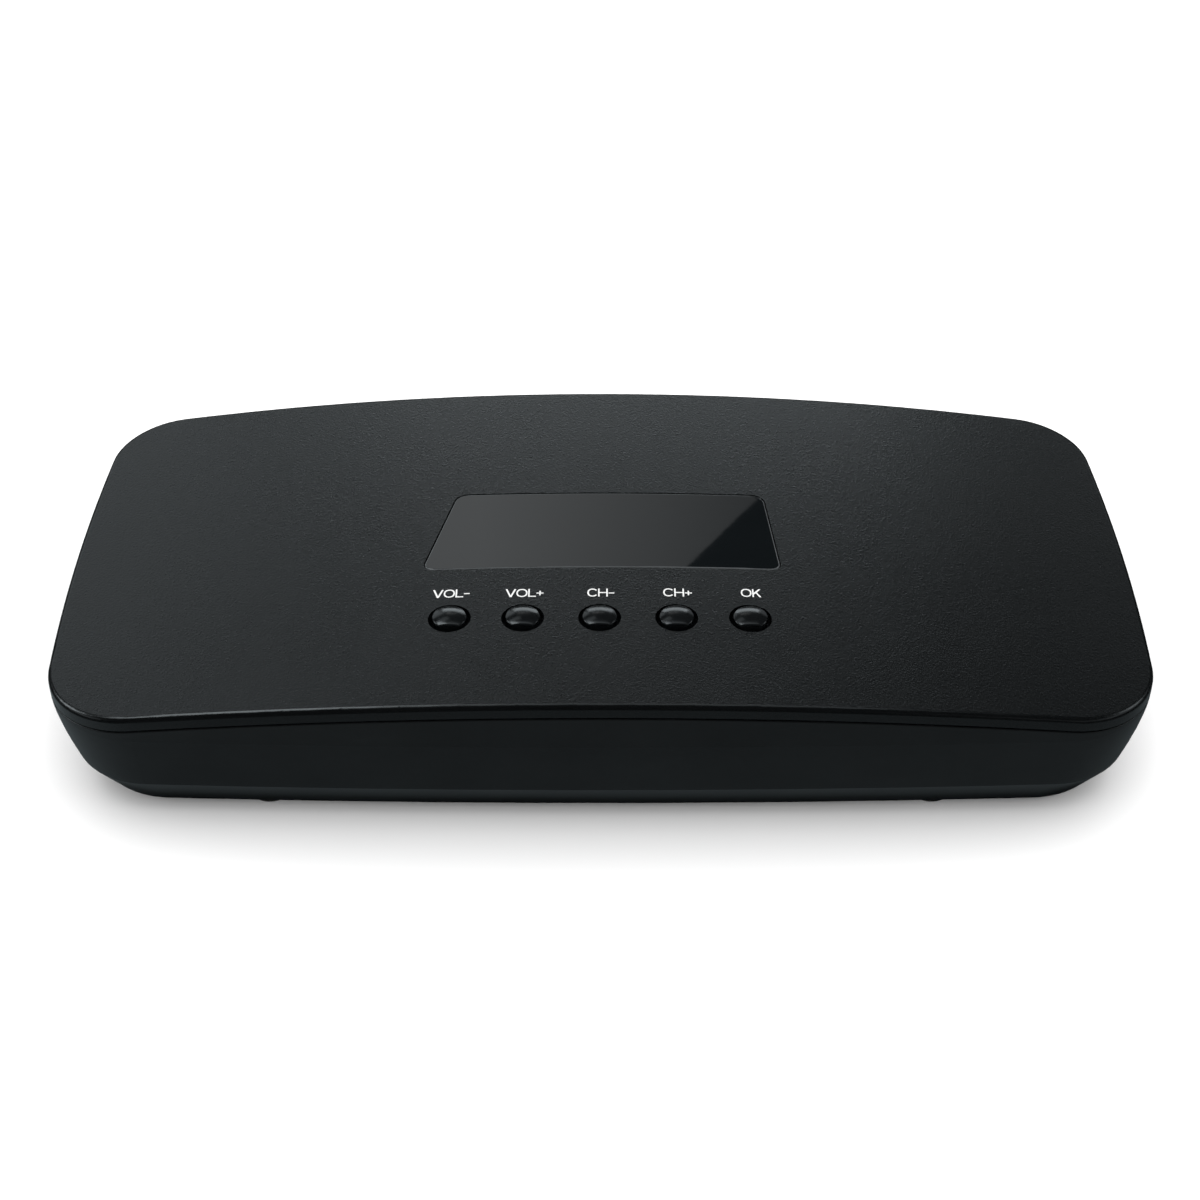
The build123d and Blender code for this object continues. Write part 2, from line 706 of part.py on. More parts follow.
with BuildPart() as memory_chips:
    with BuildSketch(casing.offset(main_top)):
        with Locations((28, 3), (28, -10)):
            Rectangle(13.3, 8)
        with Locations((-2, 16)):
            Rectangle(8, 5.2)
    extrude(amount=1.2)
memory_chips.part.label = "memory_chips"
export_step(memory_chips.part, "parts/memory_chips.step")

with BuildPart() as capacitors:
    with BuildSketch(casing.offset(main_top)):
        with Locations((-56, -8), (-56, 2)):
            Circle(4)
    extrude(amount=11.5)
    with BuildSketch(casing.offset(main_top)):
        with Locations((56, -14), (56, -6), (-52, 13), (20, 27), (12, 27)):
            Circle(3.15)
    extrude(amount=7.5)
capacitors.part.label = "capacitors"
export_step(capacitors.part, "parts/capacitors.step")

with BuildPart() as inductors:
    with BuildSketch(casing.offset(main_top)):
        with Locations((-66, 8), (-40, 18), (58, 6)):
            RectangleRounded(7.5, 7.5, 1.6)
    extrude(amount=4.2)
inductors.part.label = "inductors"
export_step(inductors.part, "parts/inductors.step")

# ============================================================= rear sockets
with BuildPart() as tuner_can:
    with BuildSketch(casing.offset(main_top)):
        with Locations(((lnb_x + loop_x) / 2, 31.6)):
            Rectangle(35, 23.4)
    extrude(amount=13)
    fillet(tuner_can.edges().filter_by(Axis.Z), 0.6)
tuner_can.part.label = "tuner_can"
export_step(tuner_can.part, "parts/tuner_can.step")

for name, x in (("lnb_in", lnb_x), ("loop_out", loop_x)):
    face_y = panel_y - 0.4
    with BuildPart() as f_connector:
        with BuildSketch(Plane(origin=(x, case_y, f_z), x_dir=(0, 1, 0), z_dir=(1, 0, 0))):
            with BuildLine():
                Polyline(
                    (face_y, 3.6), (socket_tip - 0.3, 3.6), (socket_tip, 3.9),
                    (socket_tip, 4.4), (socket_tip - 0.36, 4.76), (panel_out + 2.7, 4.76),
                    (panel_out + 2.7, 4.3), (face_y, 4.3), close=True,
                )
            make_face()
        revolve(axis=Axis((x, case_y, f_z), (0, 1, 0)))
    f_connector.part.label = "f_connector_" + name
    export_step(f_connector.part, "parts/f_connector_" + name + ".step")

with BuildPart() as f_connector_insulators:
    with BuildSketch(rear_plane(panel_y - 0.4)):
        with Locations((-lnb_x, f_z), (-loop_x, f_z)):
            Circle(3.58)
            Circle(0.65, mode=Mode.SUBTRACT)
    extrude(amount=socket_tip - panel_y - 0.4)
f_connector_insulators.part.label = "f_connector_insulators"
export_step(f_connector_insulators.part, "parts/f_connector_insulators.step")

with BuildPart() as f_connector_nuts:
    with BuildSketch(rear_plane(panel_out + 0.1)):
        with Locations((-lnb_x, f_z), (-loop_x, f_z)):
            Circle(6.6)
            Circle(4.33, mode=Mode.SUBTRACT)
    extrude(amount=0.5)
    with BuildSketch(rear_plane(panel_out + 0.6)):
        with Locations((-lnb_x, f_z), (-loop_x, f_z)):
            RegularPolygon(6.35, 6)
            Circle(4.33, mode=Mode.SUBTRACT)
    extrude(amount=2.0)
f_connector_nuts.part.label = "f_connector_nuts"
export_step(f_connector_nuts.part, "parts/f_connector_nuts.step")

with BuildPart() as usb_shell:
    with BuildSketch(rear_plane(32)):
        with Locations((-usb_x, usb_z)):
            RectangleRounded(13.2, 5.8, 0.5)
    extrude(amount=panel_out + 1.0 - 32)
    with BuildSketch(rear_plane(33)):
        with Locations((-usb_x, usb_z)):
            RectangleRounded(12.5, 5.1, 0.3)
    extrude(amount=20, mode=Mode.SUBTRACT)
usb_shell.part.label = "usb_shell"
export_step(usb_shell.part, "parts/usb_shell.step")

with BuildPart() as usb_tongue:
    with BuildSketch(rear_plane(33)):
        with Locations((-usb_x, usb_z + 1.0)):
            Rectangle(11.1, 1.9)
    extrude(amount=panel_out - 33)
usb_tongue.part.label = "usb_tongue"
export_step(usb_tongue.part, "parts/usb_tongue.step")

hdmi_outer = [(7.45, 3.0), (7.45, -0.4), (5.6, -2.9), (-5.6, -2.9), (-7.45, -0.4), (-7.45, 3.0)]
with BuildPart() as hdmi_shell:
    with BuildSketch(rear_plane(33.5)):
        with Locations((-hdmi_x, hdmi_z)):
            Polygon(*hdmi_outer, align=None)
    extrude(amount=panel_out + 1.0 - 33.5)
    with BuildSketch(rear_plane(34.5)):
        with Locations((-hdmi_x, hdmi_z)):
            Polygon(*hdmi_outer, align=None)
        offset(amount=-0.4, kind=Kind.INTERSECTION, mode=Mode.REPLACE)
    extrude(amount=20, mode=Mode.SUBTRACT)
hdmi_shell.part.label = "hdmi_shell"
export_step(hdmi_shell.part, "parts/hdmi_shell.step")

with BuildPart() as hdmi_tongue:
    with BuildSketch(rear_plane(34.5)):
        with Locations((-hdmi_x, hdmi_z + 0.5)):
            Rectangle(11.6, 1.5)
    extrude(amount=panel_out - 34.5)
hdmi_tongue.part.label = "hdmi_tongue"
export_step(hdmi_tongue.part, "parts/hdmi_tongue.step")

# three phono sockets: one block behind the panel, metal shells, coloured cores
with BuildPart() as av_socket_block:
    with BuildSketch(rear_plane(34)):
        with Locations((25, av_z)):
            Rectangle(42, 12.6)
    extrude(amount=panel_y - 0.3 - 34)
av_socket_block.part.label = "av_socket_block"
export_step(av_socket_block.part, "parts/av_socket_block.step")

with BuildPart() as av_socket_shells:
    with BuildSketch(rear_plane(panel_y + 0.1)):
        with Locations(*[(-x, av_z) for x in av_x]):
            Circle(3.85)
    extrude(amount=2.6)
    with BuildSketch(rear_plane(panel_y + 2.7)):
        with Locations(*[(-x, av_z) for x in av_x]):
            Circle(4.15)
    extrude(amount=54.2 - panel_y - 2.7)
    with BuildSketch(rear_plane(panel_y)):
        with Locations(*[(-x, av_z) for x in av_x]):
            Circle(3.6)
    extrude(amount=12, mode=Mode.SUBTRACT)
av_socket_shells.part.label = "av_socket_shells"
export_step(av_socket_shells.part, "parts/av_socket_shells.step")

# each core carries a thin back plate and the coloured collar round its shell
for name, x in zip(("video", "audio_left", "audio_right"), av_x):
    with BuildPart() as av_core:
        with BuildSketch(rear_plane(panel_y - 0.3)):
            with Locations((-x, av_z)):
                Circle(5.2)
        extrude(amount=panel_out + 1.4 - panel_y + 0.3)
        with BuildSketch(rear_plane(panel_y + 0.06)):
            with Locations((-x, av_z)):
                Circle(3.89)
        extrude(amount=6, mode=Mode.SUBTRACT)
        with BuildSketch(rear_plane(panel_y - 0.3)):
            with Locations((-x, av_z)):
                Circle(3.56)
        extrude(amount=53.6 - panel_y + 0.3)
        with BuildSketch(rear_plane(panel_y - 1)):
            with Locations((-x, av_z)):
                Circle(1.65)
        extrude(amount=12, mode=Mode.SUBTRACT)
    av_core.part.label = "av_socket_" + name
    export_step(av_core.part, "parts/av_socket_" + name + ".step")

with BuildPart() as dc_socket:
    with BuildSketch(rear_plane(30.5)):
        with Locations((-dc_x, dc_z)):
            Rectangle(9, 11)
    extrude(amount=panel_y - 0.3 - 30.5)
    with BuildSketch(rear_plane(panel_y - 0.3)):
        with Locations((-dc_x, dc_z)):
            Circle(4.1)
    extrude(amount=2.5)
    with BuildSketch(rear_plane(36.5)):
        with Locations((-dc_x, dc_z)):
            Circle(3.15)
    extrude(amount=12, mode=Mode.SUBTRACT)
dc_socket.part.label = "dc_socket"
export_step(dc_socket.part, "parts/dc_socket.step")

with BuildPart() as dc_socket_pin:
    with BuildSketch(rear_plane(36.5)):
        with Locations((-dc_x, dc_z)):
            Circle(1.0)
    extrude(amount=8.6)
    fillet(dc_socket_pin.edges().sort_by(Axis.Y)[-1], 0.5)
dc_socket_pin.part.label = "dc_socket_pin"
export_step(dc_socket_pin.part, "parts/dc_socket_pin.step")

# ============================================================ power rocker
rocker_y = 42.8         # pivot, from the casing's middle
rocker_tilt = 8.0       # each way from level; at rest it is pressed one way
with BuildPart() as power_switch_housing:
    with BuildSketch(rear_plane(31)):
        with Locations((-switch_x, rocker_z)):
            Rectangle(8.9, 13.9)
    extrude(amount=panel_out + 0.1 - 31)
    with BuildSketch(rear_plane(panel_out + 0.1)):
        with Locations((-switch_x, rocker_z)):
            RectangleRounded(10.6, 15.2, 0.8)
    extrude(amount=1.4)
    fillet(power_switch_housing.faces().sort_by(Axis.Y)[-1].edges(), 0.4)
    with BuildSketch(rear_plane(38)):
        with Locations((-switch_x, rocker_z)):
            Rectangle(7.6, 12.8)
    extrude(amount=12, mode=Mode.SUBTRACT)
    with BuildSketch(Plane(origin=(switch_x, case_y + rocker_y, rocker_z), x_dir=(0, 1, 0), z_dir=(1, 0, 0))):
        Circle(1.06)
    extrude(amount=4.2, both=True, mode=Mode.SUBTRACT)
power_switch_housing.part.label = "power_switch_housing"
export_step(power_switch_housing.part, "parts/power_switch_housing.step")

lean = math.radians(rocker_tilt)
tilt = Plane(
    origin=(switch_x, case_y + rocker_y, rocker_z),
    x_dir=(0, math.cos(lean), math.sin(lean)),
    z_dir=(1, 0, 0),
)
with BuildPart() as power_rocker:
    with BuildSketch(tilt) as power_rocker_profile:
        with BuildLine():
            Polyline((4.2, 5.7), (3.5, 0), (4.2, -5.7), (2.6, -5.85), (-1.6, -3.2), (-1.6, 3.2), (2.6, 5.85), close=True)
        make_face()
        fillet(power_rocker_profile.vertices().sort_by(Axis.X)[-2:], 0.35)
    extrude(amount=3.65, both=True)
    with BuildSketch(tilt):
        Circle(1.0)
    extrude(amount=4.1, both=True)
power_rocker.part.label = "power_rocker"
export_step(power_rocker.part, "parts/power_rocker.step")
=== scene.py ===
import json
import math

import bmesh
import bpy
from mathutils import Matrix, Vector

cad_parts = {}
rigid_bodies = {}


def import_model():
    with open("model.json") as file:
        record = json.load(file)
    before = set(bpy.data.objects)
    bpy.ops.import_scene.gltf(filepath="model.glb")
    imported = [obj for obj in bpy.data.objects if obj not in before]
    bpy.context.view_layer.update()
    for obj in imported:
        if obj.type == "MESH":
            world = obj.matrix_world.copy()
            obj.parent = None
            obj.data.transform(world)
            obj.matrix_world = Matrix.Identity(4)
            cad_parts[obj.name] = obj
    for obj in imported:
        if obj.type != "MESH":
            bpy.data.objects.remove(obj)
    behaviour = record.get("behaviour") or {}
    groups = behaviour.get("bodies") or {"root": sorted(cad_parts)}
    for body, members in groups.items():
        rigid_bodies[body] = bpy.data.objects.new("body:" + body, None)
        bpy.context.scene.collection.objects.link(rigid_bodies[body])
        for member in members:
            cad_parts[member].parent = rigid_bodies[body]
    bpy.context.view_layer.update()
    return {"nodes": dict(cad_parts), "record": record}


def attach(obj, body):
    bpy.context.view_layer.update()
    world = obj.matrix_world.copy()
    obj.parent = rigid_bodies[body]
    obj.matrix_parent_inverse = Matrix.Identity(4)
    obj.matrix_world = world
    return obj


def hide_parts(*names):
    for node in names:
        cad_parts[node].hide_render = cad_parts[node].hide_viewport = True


for old in list(bpy.data.objects):
    bpy.data.objects.remove(old)

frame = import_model()
nodes = frame["nodes"]
scene = bpy.context.scene
MM = 0.001

# ------------------------------------------------- sizes shared with the CAD
half_w, crown, crest = 110.0, 7.4, 34.0
case_y = -1.75
crown_radius = (half_w**2 + crown**2) / (2 * crown)
button_x = [-29.9, -15.4, -0.2, 15.0, 29.6]


def crown_z(x, top=crest):
    return top - crown_radius + math.sqrt(crown_radius**2 - x * x)


# ---------------------------------------------------------------- material kit
class Mat:
    """A Principled material with helpers for its node tree."""

    def __init__(self, name, metallic=0.0, spec=0.5, ior=1.5, coat=0.0, coat_rough=0.05):
        self.m = bpy.data.materials.new(name)
        self.m.use_nodes = True
        self.nt = self.m.node_tree
        self.nt.nodes.clear()
        self.out = self.add("ShaderNodeOutputMaterial")
        self.p = self.add("ShaderNodeBsdfPrincipled")
        self.link(self.p.outputs["BSDF"], self.out.inputs["Surface"])
        self.p.inputs["Metallic"].default_value = metallic
        self.p.inputs["Specular IOR Level"].default_value = spec
        self.p.inputs["IOR"].default_value = ior
        self.p.inputs["Coat Weight"].default_value = coat
        self.p.inputs["Coat Roughness"].default_value = coat_rough
        self.co = self.add("ShaderNodeTexCoord").outputs["Object"]

    def add(self, kind, **props):
        n = self.nt.nodes.new(kind)
        for k, v in props.items():
            setattr(n, k, v)
        return n

    def link(self, a, b):
        self.nt.links.new(a, b)

    def put(self, socket, value):
        if hasattr(value, "is_output"):
            self.link(value, socket)
        else:
            socket.default_value = value

    def stretch(self, x, y, z):
        n = self.add("ShaderNodeMapping")
        self.link(self.co, n.inputs["Vector"])
        n.inputs["Scale"].default_value = (x, y, z)
        return n.outputs["Vector"]

    def noise(self, scale, detail=2.0, rough=0.5, vector=None, distortion=0.0):
        n = self.add("ShaderNodeTexNoise")
        self.link(vector or self.co, n.inputs["Vector"])
        n.inputs["Scale"].default_value = scale
        n.inputs["Detail"].default_value = detail
        n.inputs["Roughness"].default_value = rough
        n.inputs["Distortion"].default_value = distortion
        return n.outputs["Fac"]

    def cells(self, scale, feature="F1", vector=None, smooth=None, rand=1.0):
        n = self.add("ShaderNodeTexVoronoi", feature=feature)
        self.link(vector or self.co, n.inputs["Vector"])
        n.inputs["Scale"].default_value = scale
        n.inputs["Randomness"].default_value = rand
        if smooth is not None:
            n.inputs["Smoothness"].default_value = smooth
        return n.outputs["Distance"]

    def ramp(self, value, a, b, lo=0.0, hi=1.0):
        """Maps value from a..b to lo..hi, clamped."""
        n = self.add("ShaderNodeMapRange")
        self.put(n.inputs["Value"], value)
        n.inputs["From Min"].default_value = a
        n.inputs["From Max"].default_value = b
        n.inputs["To Min"].default_value = lo
        n.inputs["To Max"].default_value = hi
        return n.outputs["Result"]

    def math(self, op, a, b=None, c=None):
        n = self.add("ShaderNodeMath", operation=op)
        for s, v in zip(n.inputs, (a, b, c)):
            if v is not None:
                self.put(s, v)
        return n.outputs[0]

    def mix(self, fac, a, b):
        n = self.add("ShaderNodeMix", data_type="RGBA")
        self.put(n.inputs[0], fac)
        for s, v in ((n.inputs[6], a), (n.inputs[7], b)):
            if hasattr(v, "is_output"):
                self.link(v, s)
            else:
                s.default_value = (*v, 1.0)
        return n.outputs[2]

    def normal_z(self):
        g = self.add("ShaderNodeNewGeometry")
        s = self.add("ShaderNodeSeparateXYZ")
        self.link(g.outputs["Normal"], s.inputs[0])
        return s.outputs["Z"]

    def xyz(self):
        s = self.add("ShaderNodeSeparateXYZ")
        self.link(self.co, s.inputs[0])
        return s.outputs

    def color(self, value):
        self.put(self.p.inputs["Base Color"], value)

    def rough(self, value):
        self.put(self.p.inputs["Roughness"], value)

    def bump(self, height, distance, strength=1.0):
        n = self.add("ShaderNodeBump")
        n.inputs["Distance"].default_value = distance
        self.put(n.inputs["Strength"], strength)
        self.link(height, n.inputs["Height"])
        self.link(n.outputs["Normal"], self.p.inputs["Normal"])
        return n


def shade(c, k):
    return tuple(v * k for v in c)


def moulded(name, color, rough, vary=0.12, drough=0.05, grain=900.0, depth=0.00001, spec=0.5, coat=0.0, marks=0.0):
    """Moulded plastic: faint flow mottle, micro grain, and light rub marks."""
    m = Mat(name, spec=spec, coat=coat)
    mottle = m.ramp(m.noise(70.0, 3.0, 0.6), 0.32, 0.68)
    base = m.mix(mottle, shade(color, 1 - vary), shade(color, 1 + vary))
    if marks:
        rub = m.ramp(m.noise(38.0, 5.0, 0.7, m.stretch(1, 0.22, 1)), 0.60, 0.78)
        fine = m.ramp(m.noise(1500.0, 2.0, 0.6, m.stretch(0.12, 1, 1)), 0.58, 0.72)
        worn = m.math("MULTIPLY", rub, fine)
        base = m.mix(m.math("MULTIPLY", worn, marks), base, shade(color, 2.2))
    m.color(base)
    r = m.ramp(m.noise(45.0, 4.0, 0.65), 0.3, 0.7, rough - drough, rough + drough)
    m.rough(r)
    height = m.math("ADD", m.noise(grain, 3.0, 0.6), m.math("MULTIPLY", m.cells(grain * 0.8), 0.5))
    m.bump(height, depth)
    return m.m


def plated(name, color, rough, drough=0.06, brushed=None, tarnish=0.25, depth=0.000004):
    """Plated metal: fine polishing lines, faint tarnish in patches."""
    m = Mat(name, metallic=1.0)
    patch = m.ramp(m.noise(160.0, 4.0, 0.6), 0.42, 0.75)
    base = m.mix(m.math("MULTIPLY", patch, tarnish), color, shade(color, 0.55))
    m.color(base)
    lines = m.noise(2600.0, 2.0, 0.5, m.stretch(*(brushed or (1, 1, 1))))
    m.rough(m.math("ADD", m.ramp(lines, 0.3, 0.7, rough - drough, rough + drough), m.math("MULTIPLY", patch, 0.08)))
    m.bump(lines, depth)
    return m.m


def cover_material():
    """Black ABS with a leather-like spark grain on the top face only. The
    rounded edge and the rim below it are smooth, and a little glossier."""
    m = Mat("cover_plastic", spec=0.5)
    # how far the surface leans away from the crown: 0 on the top face
    x_at = m.math("DIVIDE", m.xyz()["X"], crown_radius * MM)
    plain = m.add("ShaderNodeCombineXYZ")
    m.link(x_at, plain.inputs[0])
    m.link(m.math("SQRT", m.math("SUBTRACT", 1.0, m.math("MULTIPLY", x_at, x_at))), plain.inputs[2])
    lean = m.add("ShaderNodeVectorMath", operation="DISTANCE")
    m.link(m.add("ShaderNodeNewGeometry").outputs["Normal"], lean.inputs[0])
    m.link(plain.outputs[0], lean.inputs[1])
    top = m.ramp(lean.outputs["Value"], 0.11, 0.05)
    warp = m.noise(900.0, 2.0, 0.5)
    v = m.add("ShaderNodeVectorMath", operation="ADD")
    m.link(m.co, v.inputs[0])
    w = m.add("ShaderNodeCombineXYZ")
    off = m.ramp(warp, 0.0, 1.0, -0.00022, 0.00022)
    m.link(off, w.inputs[0])
    m.link(off, w.inputs[1])
    m.link(w.outputs[0], v.inputs[1])
    warped = v.outputs[0]
    pebble = m.cells(2300.0, "SMOOTH_F1", warped, smooth=0.35)
    creases = m.noise(1700.0, 3.0, 0.62, warped, 0.6)
    height = m.math("ADD", m.math("MULTIPLY", pebble, -1.0), m.math("MULTIPLY", creases, 1.3))
    masked = m.math("MULTIPLY", height, top)
    clouds = m.ramp(m.noise(24.0, 3.0, 0.55), 0.3, 0.7)
    # painted shade in the grain: base colour lighter on the raised grain, darker in its pits and creases
    grain_shade_paint = m.ramp(height, -0.1, 0.9, 0.80, 1.25)
    mottle_and_grain_shade = m.math("MULTIPLY", m.ramp(clouds, 0, 1, 0.93, 1.08), grain_shade_paint)
    base = m.mix(m.ramp(mottle_and_grain_shade, 0.7, 1.4), (0.0011, 0.0014, 0.0016), (0.0025, 0.0030, 0.0033))
    m.color(base)
    r_top = m.ramp(clouds, 0, 1, 0.265, 0.30)
    r_grain = m.ramp(height, 0.0, 0.8, 0.03, -0.03)
    r_edge = m.ramp(m.noise(60.0, 4.0, 0.6), 0.3, 0.7, 0.20, 0.26)
    n = m.add("ShaderNodeMix", data_type="FLOAT")
    m.link(top, n.inputs[0])
    m.link(r_edge, n.inputs[2])
    m.link(m.math("ADD", r_top, r_grain), n.inputs[3])
    m.rough(n.outputs[0])
    m.bump(masked, 0.000040, 0.75)
    return m.m


def case_material():
    """Smooth satin ABS of the lower case, with faint handling marks."""
    m = Mat("case_plastic", spec=0.5)
    mottle = m.ramp(m.noise(55.0, 3.0, 0.55), 0.3, 0.7)
    rub = m.ramp(m.noise(30.0, 5.0, 0.7), 0.60, 0.8)
    fine = m.ramp(m.noise(1400.0, 2.0, 0.6, m.stretch(0.10, 0.10, 1)), 0.6, 0.74)
    base = m.mix(mottle, (0.0022, 0.0028, 0.0031), (0.0034, 0.0043, 0.0047))
    base = m.mix(m.math("MULTIPLY", m.math("MULTIPLY", rub, fine), 0.35), base, (0.02, 0.022, 0.023))
    m.color(base)
    m.rough(m.ramp(m.noise(40.0, 4.0, 0.6), 0.3, 0.7, 0.29, 0.36))
    m.bump(m.noise(2600.0, 3.0, 0.6), 0.000006)
    return m.m


def lens_material():
    """Smoked acrylic, polished, with a trace of dust and hairline marks."""
    m = Mat("window_lens", spec=0.5)
    dust = m.ramp(m.cells(900.0, rand=1.0), 0.06, 0.0)
    hair = m.ramp(m.noise(1100.0, 2.0, 0.5, m.stretch(0.06, 1, 1)), 0.70, 0.78)
    marks = m.math("MAXIMUM", m.math("MULTIPLY", dust, 0.25), m.math("MULTIPLY", hair, 0.12))
    tint = m.mix(m.noise(40.0), (0.0026, 0.0034, 0.0039), (0.0036, 0.0047, 0.0054))
    # painted highlight: the bevelled edge of the lens gets a lighter base colour, so it shows as a bright line
    nz = m.normal_z()
    bevel_highlight = m.math("MULTIPLY", m.ramp(nz, 0.985, 0.94), m.ramp(nz, 0.20, 0.45))
    m.color(m.mix(bevel_highlight, m.mix(marks, tint, (0.035, 0.036, 0.037)), (0.056, 0.060, 0.062)))
    m.rough(m.ramp(m.noise(120.0, 3.0, 0.6), 0.3, 0.7, 0.018, 0.028))
    m.bump(m.noise(160.0, 2.0, 0.5), 0.0000015)
    return m.m


def button_material():
    """Polished black plastic caps, a little dulled where fingers press."""
    m = Mat("button_plastic", spec=0.5)
    up = m.ramp(m.normal_z(), 0.80, 0.99)
    smear = m.ramp(m.noise(420.0, 4.0, 0.6, None, 0.5), 0.35, 0.75)
    m.color(m.mix(m.noise(300.0), (0.0022, 0.0026, 0.0029), (0.0034, 0.0040, 0.0044)))
    worn = m.math("MULTIPLY", up, smear)
    m.rough(m.ramp(worn, 0.0, 1.0, 0.145, 0.22))
    m.bump(m.noise(1500.0, 2.0, 0.5), 0.000002)
    return m.m


def rubber_material():
    m = Mat("foot_rubber", spec=0.35)
    dust = m.ramp(m.noise(500.0, 5.0, 0.7), 0.5, 0.8)
    m.color(m.mix(m.math("MULTIPLY", dust, 0.5), (0.010, 0.010, 0.011), (0.035, 0.034, 0.033)))
    m.rough(m.ramp(dust, 0, 1, 0.72, 0.9))
    m.bump(m.noise(2200.0, 4.0, 0.7), 0.00002)
    return m.m


def panel_material():
    """Powder-coated sheet steel: orange peel, with small pale specks."""
    m = Mat("panel_steel", spec=0.5)
    peel = m.noise(1100.0, 2.0, 0.5)
    speck = m.ramp(m.cells(1700.0), 0.10, 0.03)
    base = m.mix(m.ramp(m.noise(60.0, 3.0), 0.3, 0.7), (0.011, 0.012, 0.0125), (0.017, 0.018, 0.019))
    m.color(m.mix(m.math("MULTIPLY", speck, 0.12), base, (0.06, 0.06, 0.06)))
    m.rough(m.ramp(peel, 0.3, 0.7, 0.42, 0.55))
    m.bump(peel, 0.00003, 0.8)
    return m.m


def board_material():
    """Green solder mask over copper tracks, with tinned pads."""
    m = Mat("board", spec=0.5)
    brick = m.add("ShaderNodeTexBrick")
    m.link(m.co, brick.inputs["Vector"])
    brick.inputs["Scale"].default_value = 300.0
    brick.inputs["Mortar Size"].default_value = 0.06
    brick.inputs["Mortar Smooth"].default_value = 0.2
    brick.inputs["Brick Width"].default_value = 2.6
    brick.inputs["Row Height"].default_value = 0.4
    tracks = brick.outputs["Fac"]
    gate = m.ramp(m.noise(90.0, 2.0), 0.45, 0.55)
    copper = m.math("MULTIPLY", m.math("SUBTRACT", 1.0, tracks), gate)
    pads = m.ramp(m.cells(420.0, rand=0.4), 0.22, 0.16)
    pads = m.math("MULTIPLY", pads, m.ramp(m.noise(50.0), 0.5, 0.6))
    base = m.mix(copper, (0.006, 0.045, 0.018), (0.012, 0.085, 0.032))
    m.color(m.mix(pads, base, (0.62, 0.60, 0.55)))
    m.rough(m.ramp(m.noise(500.0, 3.0), 0.3, 0.7, 0.24, 0.38))
    m.bump(m.math("ADD", m.math("MULTIPLY", copper, 0.6), pads), 0.00003, 0.6)
    return m.m


def ink_material():
    """White silk-screen ink, slightly thin and uneven."""
    m = Mat("white_print", spec=0.3)
    m.color(m.mix(m.ramp(m.noise(2600.0, 3.0, 0.6), 0.35, 0.6), (0.50, 0.51, 0.51), (0.70, 0.70, 0.69)))
    m.rough(m.ramp(m.noise(3000.0, 2.0), 0.3, 0.7, 0.5, 0.62))
    m.bump(m.noise(3400.0, 3.0, 0.6), 0.000006)
    return m.m


def led_material(color):
    m = Mat("led", spec=0.5, ior=1.5)
    m.color(m.mix(m.noise(500.0), shade(color, 0.8), color))
    m.rough(m.ramp(m.noise(700.0, 2.0), 0.3, 0.7, 0.08, 0.14))
    m.bump(m.noise(300.0), 0.000004)
    return m.m


def ribbon_material():
    """White flat cable with its parallel conductors showing through."""
    m = Mat("ribbon", spec=0.4)
    wave = m.add("ShaderNodeTexWave", wave_type="BANDS", bands_direction="X")
    m.link(m.co, wave.inputs["Vector"])
    wave.inputs["Scale"].default_value = 320.0
    wave.inputs["Distortion"].default_value = 0.0
    line = m.ramp(wave.outputs["Fac"], 0.55, 0.8)
    m.color(m.mix(line, (0.70, 0.69, 0.65), (0.50, 0.50, 0.49)))
    m.rough(m.ramp(m.noise(300.0), 0.3, 0.7, 0.38, 0.48))
    m.bump(line, 0.00003)
    return m.m


mats = {
    "cover_plastic": cover_material(),
    "case_plastic": case_material(),
    "window_lens": lens_material(),
    "button_plastic": button_material(),
    "foot_rubber": rubber_material(),
    "panel_steel": panel_material(),
    "nickel": plated("nickel", (0.66, 0.62, 0.56), 0.22, 0.07, None, 0.25),
    "tin_plate": plated("tin_plate", (0.68, 0.67, 0.64), 0.32, 0.08, (0.15, 1, 1), 0.35),
    "screw_steel": plated("screw_steel", (0.10, 0.10, 0.105), 0.36, 0.08, None, 0.3),
    "aluminium": plated("aluminium", (0.80, 0.80, 0.80), 0.34, 0.08, (1, 0.1, 1), 0.2),
    "gold": plated("gold", (0.83, 0.60, 0.26), 0.24, 0.06, None, 0.15),
    "board": board_material(),
    "socket_black": moulded("socket_black", (0.0100, 0.0102, 0.0106), 0.44, grain=1400.0, depth=0.000012, marks=0.4),
    "insulator": moulded("insulator", (0.72, 0.71, 0.67), 0.42, vary=0.05, grain=1200.0),
    "core_yellow": moulded("core_yellow", (0.78, 0.50, 0.020), 0.36, vary=0.06, grain=1300.0),
    "core_white": moulded("core_white", (0.78, 0.77, 0.74), 0.36, vary=0.04, grain=1300.0),
    "core_red": moulded("core_red", (0.55, 0.020, 0.016), 0.36, vary=0.08, grain=1300.0),
    "chip": moulded("chip", (0.016, 0.016, 0.017), 0.55, grain=2200.0, depth=0.00002),
    "ribbon": ribbon_material(),
    "adhesive": moulded("adhesive", (0.012, 0.012, 0.012), 0.85, grain=1800.0, depth=0.00005),
    "led": led_material((0.42, 0.03, 0.03)),
    "white_print": ink_material(),
}

slot_of = {s["node"]: s["material_slot"] for s in frame["record"]["subparts"]}
for name, node in nodes.items():
    node.data.materials.clear()
    node.data.materials.append(mats[slot_of[name]])


# --------------------------------------------------------------- new pieces
def finish_mesh(name, bm, material, body="root"):
    bmesh.ops.remove_doubles(bm, verts=bm.verts, dist=1e-7)
    bmesh.ops.recalc_face_normals(bm, faces=bm.faces)
    me = bpy.data.meshes.new(name)
    bm.to_mesh(me)
    bm.free()
    ob = bpy.data.objects.new(name, me)
    scene.collection.objects.link(ob)
    me.materials.append(mats[material])
    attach(ob, body)
    return ob


